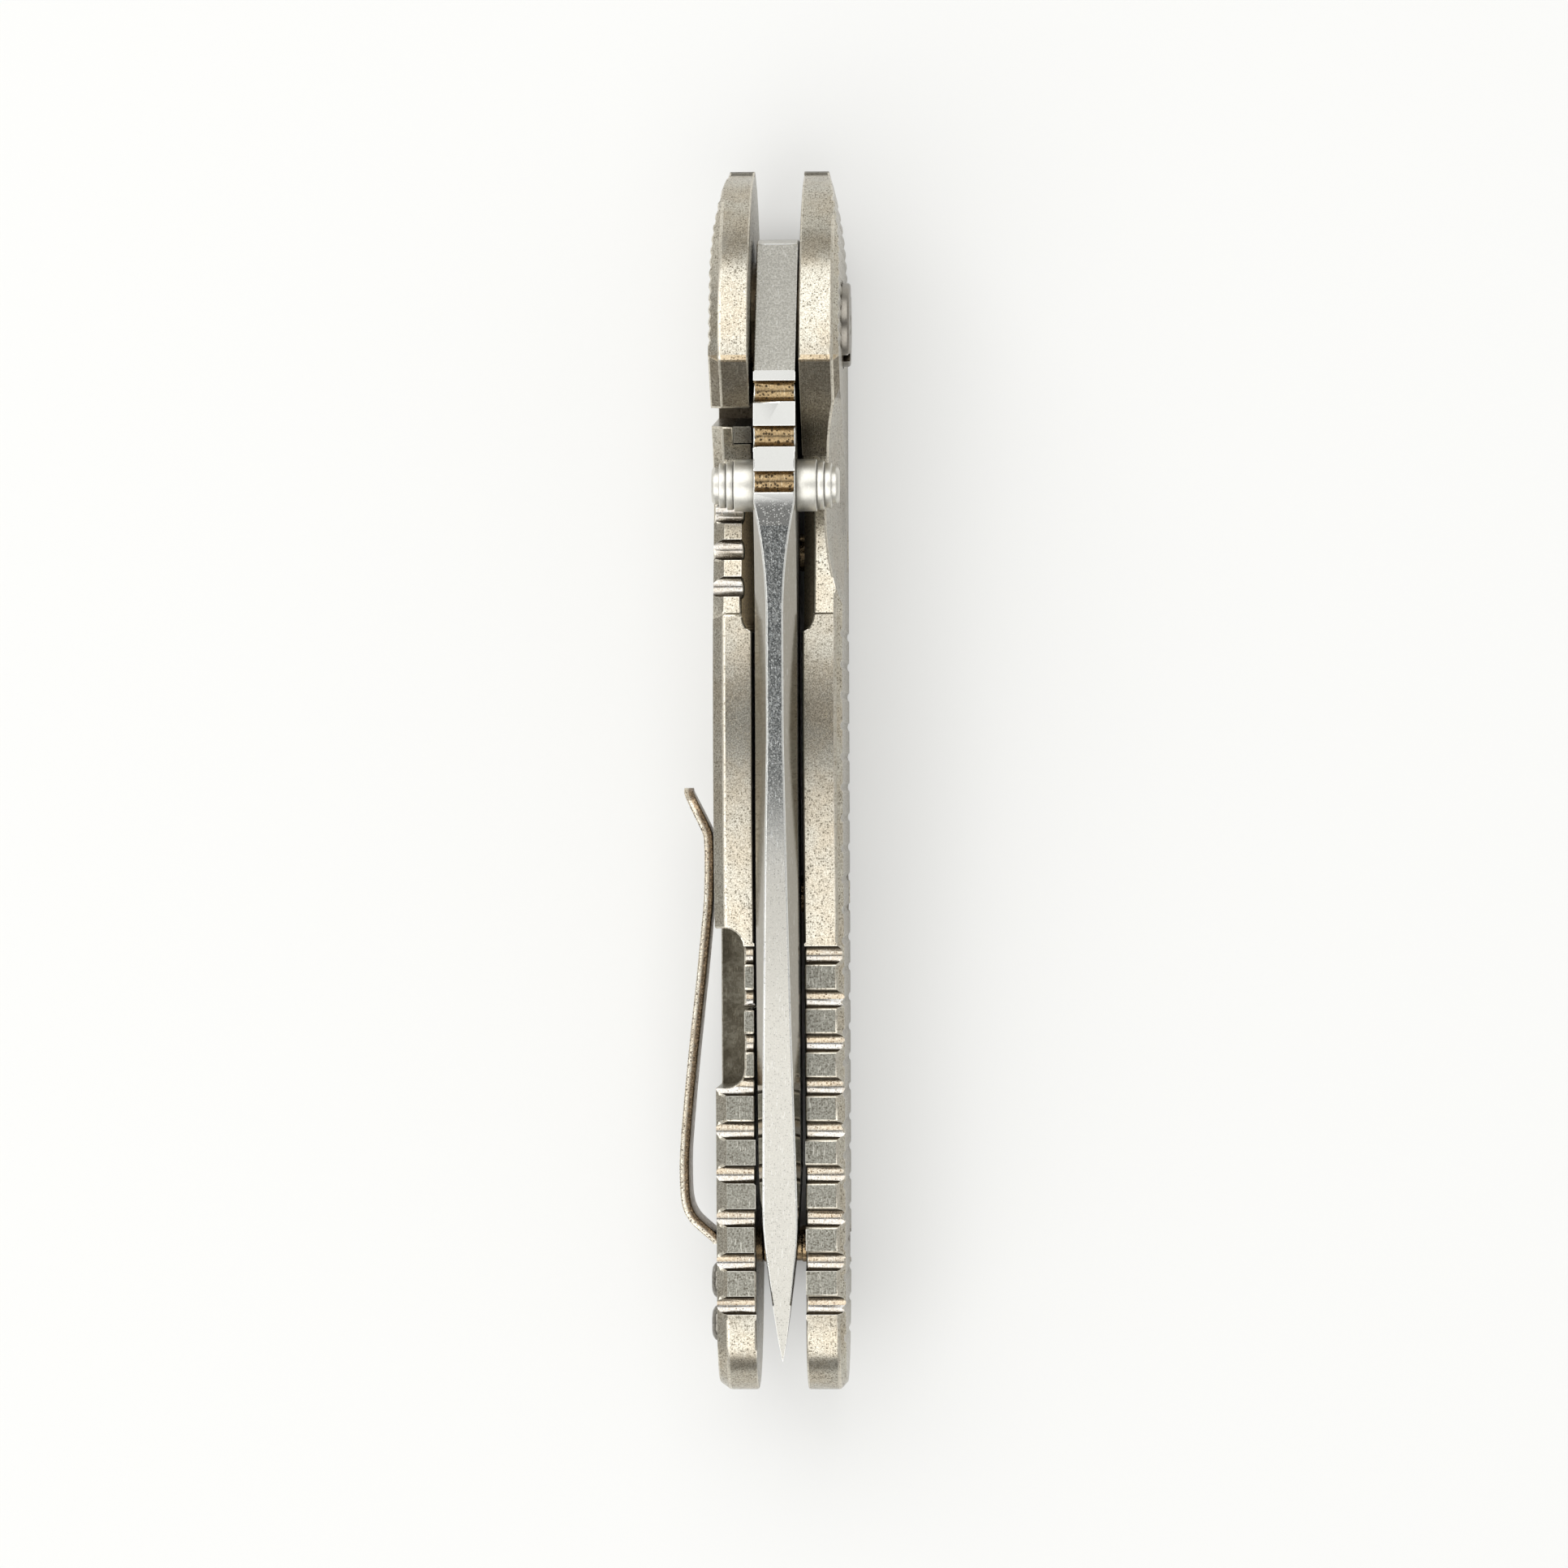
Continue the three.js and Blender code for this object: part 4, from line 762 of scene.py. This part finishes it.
def turned_mesh(name, rings, centre, side, steps=96, notches=()):
    """A turned solid about the X direction. Each ring is (radius, x, star share), in millimetres:
    a point of it lies at the radius times the star's factor, to the given share, round the axis.
    The first and last rings close on the axis. A notch is (angle, half width, inner radius, drop):
    points beyond its inner radius and within its width are set back by the drop, and the faces
    at them have the second material."""
    rings = np.array(rings, dtype=float)
    turns = np.linspace(0, 2 * np.pi, steps, endpoint=False)
    factor = 1 + rings[:, 2:3] * (star(turns)[None, :] - 1)
    radius = rings[:, 0:1] * factor
    across = np.repeat(rings[:, 1:2], steps, axis=1)
    set_back = np.zeros(across.shape, dtype=bool)
    for angle, half_width, inner, drop in notches:
        offset = np.abs((turns - angle + np.pi) % (2 * np.pi) - np.pi)[None, :] * radius
        inside = (offset < half_width) & (radius > inner) & (across > rings[:, 1].max() - drop)
        across = np.where(inside, rings[:, 1].max() - drop, across)
        set_back |= inside
    y = centre.y + radius * np.cos(turns)[None, :] * MM
    z = centre.z + radius * np.sin(turns)[None, :] * MM
    x = centre.x + side * across * MM
    grid = np.stack([x, y, z], axis=-1).reshape(-1, 3)
    count = len(rings)
    ends = [[centre.x + side * rings[end, 1] * MM, centre.y, centre.z] for end in (0, -1)]
    points = np.vstack([grid, ends])
    quads = loop_quads(count, steps)
    spokes = np.arange(steps)
    onward = (spokes + 1) % steps
    first = np.stack([np.full(steps, count * steps), onward, spokes], axis=-1)
    offset = (count - 1) * steps
    last = np.stack([np.full(steps, count * steps + 1), offset + spokes, offset + onward], axis=-1)
    if side > 0:
        quads, first, last = quads[:, ::-1], first[:, ::-1], last[:, ::-1]
    mesh = bpy.data.meshes.new(name)
    mesh.from_pydata(points.tolist(), [], quads.tolist() + first.tolist() + last.tolist())
    lengths = np.hypot(np.diff(rings[:, 0]), np.diff(rings[:, 1]))
    run = np.concatenate([[0], np.cumsum(lengths)])
    along = np.concatenate([np.repeat(run, steps), [run[0], run[-1]]])
    round_way = np.concatenate([np.tile(turns, count), [0, 0]]) / (2 * np.pi)
    keep_coordinates(mesh, "turned", np.stack([along, round_way], axis=-1))
    in_notch = set_back.ravel()[quads].any(axis=1).astype(np.int32)
    materials = np.concatenate([in_notch, np.zeros(2 * steps, dtype=np.int32)])
    mesh.polygons.foreach_set("material_index", materials)
    mesh.shade_smooth()
    mesh.set_sharp_from_angle(angle=TURNED_CREASE)
    return mesh


def corner(radius, x, inwards, onwards, steps=4):
    """Rings of a rounded outer corner: a quarter ellipse from the rim's side to its face."""
    turns = np.linspace(0, np.pi / 2, steps + 1)
    return [(radius - inwards * (1 - math.cos(t)), x - onwards * (1 - math.sin(t)), 0.0)
            for t in turns]


def socket(radius, x, depth, edge=0.06):
    """Rings of a star recess: its softened edge, its wall, its floor and a shallow cone."""
    return [(radius + edge, x, 0.9), (radius, x - edge, 1.0), (radius * 0.97, x - depth, 1.0),
            (radius * 0.5, x - depth - 0.05, 0.5), (AXIS_RADIUS, x - depth - 0.25, 0.0)]


RECESS_RINGS = 6


def screw_rings(start, shank, seat, radius, end, edge, recess, depth):
    """A screw: straight outwards from the chamfered tip of its shank to its head's seat, round
    the head's softened edge, and in over its face to the recess, which has the last rings."""
    chamfer, seat_edge, flat = 0.15, 0.05, 0.35
    return [(AXIS_RADIUS, start, 0), (shank - chamfer, start, 0), (shank, start + chamfer, 0),
            (shank, seat, 0), (radius - seat_edge, seat, 0), (radius, seat + seat_edge, 0),
            *corner(radius, end, edge, edge), (recess + flat, end, 0.0),
            *socket(recess, end, depth)]


BLADE_FACE = 2.1
OUTER_FACE = 6.53
INNER_FACE = 2.53
STUD = Vector((0, -16.7, 9.9))
STUD_FOOT = {"shank": (BLADE_FACE - 0.5, 1.2), "cap": (BLADE_FACE, 1.4)}
STUD_STEPS = ((2.62, 2.05), (2.44, 0.68), (2.26, 0.68))
STUD_SOFTENING = 0.09
STUD_GROOVE = {"width": 0.07, "depth": 0.36}
STUD_TIP = {"radius": 1.85, "length": 0.68, "rim": 0.35}


def on_knife(place):
    """A place given in millimetres from the pivot, in the frame."""
    return PIVOT + Vector(place) * MM


def stud_rings(own_shank):
    """A stud outside the blade: a drum, two rings and a domed tip parted by narrow grooves, each
    step a straight cylinder between two softened corners. The stud with its own shank starts
    a little inside the blade."""
    foot, base = STUD_FOOT["shank" if own_shank else "cap"]
    rings = [(AXIS_RADIUS, foot, 0), (base, foot, 0), (base, BLADE_FACE + 0.01, 0)]
    x = BLADE_FACE
    soft = STUD_SOFTENING
    for radius, length in STUD_STEPS:
        rings += [(radius - soft, x + 0.01, 0), (radius - 0.03, x + 0.03, 0), (radius, x + soft, 0),
                  (radius, x + length / 2, 0), *corner(radius, x + length, soft, soft, 3),
                  (radius - STUD_GROOVE["depth"], x + length, 0)]
        x += length + STUD_GROOVE["width"]
        rings.append((radius - STUD_GROOVE["depth"], x, 0))
    tip = STUD_TIP
    rings += [(tip["radius"], x, 0), (tip["radius"], x + tip["length"] - tip["rim"], 0)]
    rings += corner(tip["radius"], x + tip["length"], tip["rim"], tip["rim"], 5)
    rings += [(tip["radius"] * 0.4, x + tip["length"], 0), (AXIS_RADIUS, x + tip["length"], 0)]
    return rings


def add_studs():
    """A turned stud on either side of the blade."""
    for side, word in SIDES:
        mesh = turned_mesh(f"stud_{word}", stud_rings(side < 0), on_knife(STUD), side,
                           STUD_TURNS)
        mesh.materials.append(FINISH["polished"])
        show_piece(mesh, f"thumb_stud_{word}_side", "blade")


PIVOT_HEAD = {"start": 0.23, "shank": 1.6, "seat": 5.53, "radius": 4.25, "recess": 1.5,
              "depth": 1.0}
PIVOT_EDGE = 0.28
PIVOT_PROUD = {"show": 0.75, "lock": 0.35}
NOTCH_TURNS = (math.radians(147), math.radians(327))
NOTCH = {"half_width": 0.55, "depth": 0.7, "wall": 0.02, "drop": 0.9}


def add_pivot_screws():
    """Broad screw heads that stand proud of the slabs, each with a star recess and two notches
    in its rim: two rings close together make the notches' inner walls."""
    for side, word in SIDES:
        proud = PIVOT_PROUD[word]
        end = OUTER_FACE + proud
        rings = screw_rings(**PIVOT_HEAD, end=end, edge=min(PIVOT_EDGE, proud * 0.8))
        inner = PIVOT_HEAD["radius"] - NOTCH["depth"]
        rings.insert(-RECESS_RINGS, (inner + NOTCH["wall"], end, 0.0))
        rings.insert(-RECESS_RINGS, (inner - NOTCH["wall"], end, 0.0))
        notches = [(turn, NOTCH["half_width"], inner, proud * NOTCH["drop"])
                   for turn in NOTCH_TURNS]
        mesh = turned_mesh(f"pivot_{word}", rings, PIVOT, side, PIVOT_TURNS, notches)
        mesh.materials.append(FINISH["pivot_head"])
        # The notch faces, which have the second material, carry painted dark shade.
        mesh.materials.append(FINISH["dark_painted_shade"])
        show_piece(mesh, f"pivot_screw_{word}_side", "handle")


STANDOFFS = {"front": -22.7, "middle": -58.0, "rear": -94.2}
STANDOFF_HEIGHT = -12.7
STANDOFF = {"radius": 1.9, "bore": 0.9, "bore_edge": 1.05, "chamfer": 0.2, "waist": 0.12}
STANDOFF_SCREW = {"start": 0.53, "shank": 0.85, "seat": 5.23, "radius": 2.0, "end": 6.43,
                  "edge": 0.2, "recess": 0.85, "depth": 0.7}


def add_standoffs():
    """Posts with chamfered ends and a shallow waist, the same both ways from the middle, and a
    star screw at each end."""
    end, radius, chamfer = INNER_FACE, STANDOFF["radius"], STANDOFF["chamfer"]
    half = [(STANDOFF["bore"], end - 0.3, 0), (STANDOFF["bore_edge"], end, 0),
            (radius - chamfer, end, 0), (radius, end - chamfer, 0), (radius, end - 0.9, 0),
            (radius - STANDOFF["waist"], end - 1.05, 0)]
    rings = [(reach, -x, star_share) for reach, x, star_share in half] + half[::-1]
    for place, y in STANDOFFS.items():
        centre = on_knife((0, y, STANDOFF_HEIGHT))
        mesh = turned_mesh(f"post_{place}", rings, centre, 1, POST_TURNS)
        mesh.materials.append(FINISH["bronze"])
        show_piece(mesh, f"standoff_{place}", "handle")
        for side, word in SIDES:
            mesh = turned_mesh(f"screw_{place}_{word}", screw_rings(**STANDOFF_SCREW), centre, side)
            mesh.materials.append(FINISH["screw"])
            show_piece(mesh, f"standoff_screw_{place}_{word}_side", "handle")


CLIP_HEIGHT = -4.6
CLIP_SCREWS = {"front": -97.4, "rear": -101.8}
CLIP_SCREW = {"start": 3.13, "shank": 1.0, "radius": 1.8, "rim": 0.35, "head": 1.05,
              "recess": 0.85, "depth": 0.5, "steps": 9}


def add_clip_screws():
    """Screws with a domed head, a quarter ellipse on a short straight rim, and a star recess."""
    size = CLIP_SCREW
    start, shank, radius, recess = size["start"], size["shank"], size["radius"], size["recess"]
    seat, seat_edge = OUTER_FACE, 0.06
    rim = seat + size["rim"]
    top = seat + size["head"]
    floor = top - size["depth"]
    turns = np.linspace(0, np.pi / 2, size["steps"])
    dome = [(radius * math.cos(t), rim + (top - rim) * math.sin(t), 0.0) for t in turns]
    dome = [ring for ring in dome if ring[0] > recess * 1.3]
    level = dome[-1][1]
    rings = [(AXIS_RADIUS, start, 0), (shank, start, 0), (shank, seat, 0),
             (radius - seat_edge, seat, 0), (radius, seat + seat_edge, 0), *dome,
             (recess + 0.1, level + 0.04, 0.9), (recess, level - 0.03, 1.0),
             (recess * 0.97, floor, 1.0), (recess * 0.4, floor - 0.04, 0.4),
             (AXIS_RADIUS, floor - 0.15, 0.0)]
    for place, y in CLIP_SCREWS.items():
        mesh = turned_mesh(f"clip_screw_{place}_turned", rings, on_knife((0, y, CLIP_HEIGHT)), -1)
        mesh.materials.append(FINISH["clip_screw"])
        show_piece(mesh, f"clip_screw_{place}", "handle")


# ---------------- clip arm

ARM_STATIONS = 150
ARM_TIP_STATIONS = 24
MIDDLE_STATIONS = 122
ARM_ROUNDING = 0.22
ARM_THICKNESS = 1.0
ARM_TIP_HALF = 2.8
ARM_STRAIGHT = 8.0
ARM_SKIN = 0.02


def rounded_section(half_wide, half_thick, rounding):
    """Loops of a rectangle with quarter-round corners, one a row: half widths may differ by row.
    Returns the offsets along the strip's width and through its thickness."""
    turns = np.linspace(0, np.pi / 2, 5)
    wide, thick = [], []
    for sign_w, sign_t, order in ((1, 1, turns), (-1, 1, turns[::-1]),
                                  (-1, -1, turns), (1, -1, turns[::-1])):
        wide.append(sign_w * (half_wide[:, None] - rounding + rounding * np.cos(order)[None, :]))
        thick.append(sign_t * (half_thick - rounding + rounding * np.sin(order)[None, :])
                     * np.ones_like(half_wide)[:, None])
    return np.concatenate(wide, axis=1), np.concatenate(thick, axis=1)


def add_clip_arm():
    """The bent strip: a rounded rectangle swept along the middle of the CAD strip, narrowing
    towards its front and rounded off in a half circle at the tip."""
    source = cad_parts["clip_arm"].data
    points = np.empty(len(source.vertices) * 3)
    source.vertices.foreach_get("co", points)
    points = points.reshape(-1, 3) / MM
    root, tip = points[:, 1].min() + ARM_SKIN, points[:, 1].max() - ARM_SKIN
    top = points[:, 2].max()
    half_root = (top - points[:, 2].min()) / 2
    middle = top - half_root
    straight_end = tip - ARM_TIP_HALF
    bow = np.linspace(0, np.pi / 2, ARM_TIP_STATIONS)[1:]
    y = np.concatenate([np.linspace(root, straight_end, ARM_STATIONS),
                        straight_end + ARM_TIP_HALF * np.sin(bow)])
    centre_y, centre_x = strip_middle(source, points)
    x = np.interp(y, centre_y, centre_x)
    slope = np.gradient(x, y)
    length = np.hypot(1, slope)
    outward = np.stack([1 / length, -slope / length], axis=-1)
    share = np.clip((y - root - ARM_STRAIGHT) / (straight_end - root - ARM_STRAIGHT), 0, 1)
    half_wide = half_root + (ARM_TIP_HALF - half_root) * share
    round_tip = np.sqrt(np.clip(1 - (np.clip(y - straight_end, 0, None) / ARM_TIP_HALF) ** 2, 0, 1))
    half_wide = np.maximum(half_wide * round_tip, ARM_ROUNDING + 0.02) - ARM_SKIN
    half_thick = ARM_THICKNESS / 2 - ARM_SKIN
    wide, thick = rounded_section(half_wide, half_thick, ARM_ROUNDING)
    grid = np.stack([x[:, None] + outward[:, 0:1] * thick, y[:, None] + outward[:, 1:2] * thick,
                     middle + wide], axis=-1)
    along = np.broadcast_to(y[:, None], thick.shape)
    mesh = swept_mesh("clip_arm_swept", grid * MM, along, thick / half_thick)
    mesh.materials.append(FINISH["clip"])
    show_piece(mesh, "clip_arm", "clip")


def strip_middle(mesh, points):
    """The middle line of a strip seen from above, as (y, x): at each y, halfway between the least
    and the greatest x at which the strip's edges cross it."""
    ends = np.empty(len(mesh.edges) * 2, dtype=np.int32)
    mesh.edges.foreach_get("vertices", ends)
    start, end = points[ends[0::2]], points[ends[1::2]]
    places = np.linspace(points[:, 1].min(), points[:, 1].max(), MIDDLE_STATIONS)[1:-1]
    least_rise = 1e-6
    rise = end[:, 1] - start[:, 1]
    rise = np.where(np.abs(rise) < least_rise, least_rise, rise)
    share = (places[:, None] - start[None, :, 1]) / rise
    crossing = start[:, 0] + share * (end[:, 0] - start[:, 0])
    crosses = (share >= 0) & (share <= 1)
    least = np.where(crosses, crossing, np.inf).min(axis=1)
    greatest = np.where(crosses, crossing, -np.inf).max(axis=1)
    return places, (least + greatest) / 2


def swept_mesh(name, grid, along, through):
    """A closed mesh through loops of points, one loop a row, with a flat cap at each end. Each
    point's places along the strip and through it are kept as the coordinates called strip."""
    rows, around = grid.shape[:2]
    quads = loop_quads(rows, around)[:, [0, 3, 2, 1]]
    caps = [list(range(around)), list(range((rows - 1) * around, rows * around))[::-1]]
    mesh = bpy.data.meshes.new(name)
    mesh.from_pydata(grid.reshape(-1, 3).tolist(), [], quads.tolist() + caps)
    shape = bmesh.new()
    shape.from_mesh(mesh)
    bmesh.ops.recalc_face_normals(shape, faces=shape.faces)
    shape.to_mesh(mesh)
    shape.free()
    keep_coordinates(mesh, "strip", np.stack([along, through], axis=-1).reshape(-1, 2))
    mesh.shade_smooth()
    mesh.set_sharp_from_angle(angle=STRIP_CREASE)
    return mesh


# ---------------- all pieces

dress_slab("show_side_slab", "handle")
dress_slab("lock_side_slab", "handle")
dress_slab("lock_bar", "lock_bar")
dress_blade()
add_studs()
add_pivot_screws()
add_standoffs()
add_clip_screws()
add_clip_arm()
dress("lock_insert", "steel")
for name in ("lock_insert_screw", "pivot_barrel", "stop_pin"):
    dress(name, "dark_steel")
dress("detent_ball", "steel")
for word in ("show", "lock"):
    dress(f"washer_{word}_side", "washer")
dress("clip_base", "clip_tab")

# ---------------- floor and light


FLOOR = {"half": 1.5, "colour": (0.80, 0.80, 0.79, 1), "roughness": 0.9, "shine": 0.1}
EVEN_SHARE = 0.45
EVEN_COLOUR = (0.905, 0.905, 0.885, 1)
AHEAD = (0.052, 0.060)
ASTERN = (-0.046, -0.054)


def add_floor():
    """A broad pale sheet under the knife. Round the knife the camera sees a share of even
    paleness over the real shading, so that the shadow stays; under the blade all is shading."""
    half = FLOOR["half"]
    mesh = bpy.data.meshes.new("floor")
    corners = [(-half, -half, 0), (half, -half, 0), (half, half, 0), (-half, half, 0)]
    mesh.from_pydata(corners, [], [(0, 1, 2, 3)])
    floor = bpy.data.objects.new("floor", mesh)
    bpy.context.scene.collection.objects.link(floor)
    material, graph, shader = new_material("pale_floor")
    shader.inputs["Base Color"].default_value = FLOOR["colour"]
    shader.inputs["Roughness"].default_value = FLOOR["roughness"]
    shader.inputs["Specular IOR Level"].default_value = FLOOR["shine"]
    even = graph.node("Emission")
    even.inputs["Color"].default_value = EVEN_COLOUR
    place = graph.along_axes(graph.node("TexCoord").outputs["Object"])
    across = graph.maths("ABSOLUTE", graph.minus(place["X"], PIVOT.x))
    aside = graph.span(across, INNER_FACE * MM, OUTER_FACE * MM)
    ahead = graph.span(place["Y"], *AHEAD)
    astern = graph.span(place["Y"], *ASTERN)
    open_floor = graph.maths("MAXIMUM", graph.maths("MAXIMUM", aside, ahead), astern)
    blend = graph.node("MixShader")
    seen = graph.node("LightPath").outputs["Is Camera Ray"]
    share = graph.times(graph.times(seen, EVEN_SHARE), open_floor)
    graph.feed(blend.inputs["Fac"], share)
    graph.feed(blend.inputs[1], shader.outputs["BSDF"])
    graph.feed(blend.inputs[2], even.outputs["Emission"])
    output = next(n for n in material.node_tree.nodes if n.type == "OUTPUT_MATERIAL")
    graph.feed(output.inputs["Surface"], blend.outputs["Shader"])
    mesh.materials.append(material)


def add_softbox(name, middle, size, radiance):
    """A flat rectangular lamp that faces the knife and has the given brightness."""
    data = bpy.data.lights.new(name, "AREA")
    data.shape = "RECTANGLE"
    data.size, data.size_y = size
    data.energy = radiance * math.pi * size[0] * size[1]
    lamp = bpy.data.objects.new(name, data)
    place = Vector(middle)
    turn = (-place).to_track_quat("-Z", "Y").to_matrix().to_4x4()
    lamp.matrix_world = Matrix.Translation(place) @ turn
    bpy.context.scene.collection.objects.link(lamp)


ROOM = {"level": 0.62, "overhead": 0.13, "behind": 0.35, "colour": (1.0, 1.0, 0.985, 1)}
OVERHEAD_RANGE = (math.cos(math.radians(26)), math.cos(math.radians(15)))
BEHIND_RANGE = (0.8, 0.93)


def add_room():
    """The room round the knife: pale at the sides, dark straight above, where the camera stands,
    and dimmer low down behind the handle's tail."""
    world = bpy.data.worlds.new("pale_room")
    world.use_nodes = True
    graph = Tree(world.node_tree)
    way = graph.along_axes(graph.node("TexCoord").outputs["Generated"])
    above = graph.span(way["Z"], *OVERHEAD_RANGE)
    behind = graph.span(graph.times(way["Y"], -1.0), *BEHIND_RANGE)
    darker = ROOM["overhead"] - ROOM["level"]
    level = graph.plus(ROOM["level"], graph.times(above, darker))
    lower = graph.minus(level, ROOM["behind"])
    level = graph.minus(level, graph.times(behind, lower))
    background = next(n for n in world.node_tree.nodes if n.type == "BACKGROUND")
    background.inputs["Color"].default_value = ROOM["colour"]
    graph.feed(background.inputs["Strength"], level)
    bpy.context.scene.world = world


SOFTBOXES = (("softbox_fore", (-0.25, 0.67, 0.873), (1.3, 1.19)),
             ("softbox_aft", (-0.25, -0.567, 0.943), (1.3, 1.22)))
SOFTBOX_RADIANCE = 1.7

add_camera()
add_floor()
for name, middle, size in SOFTBOXES:
    add_softbox(name, middle, size, SOFTBOX_RADIANCE)
add_room()
bpy.context.scene.view_settings.view_transform = "Standard"
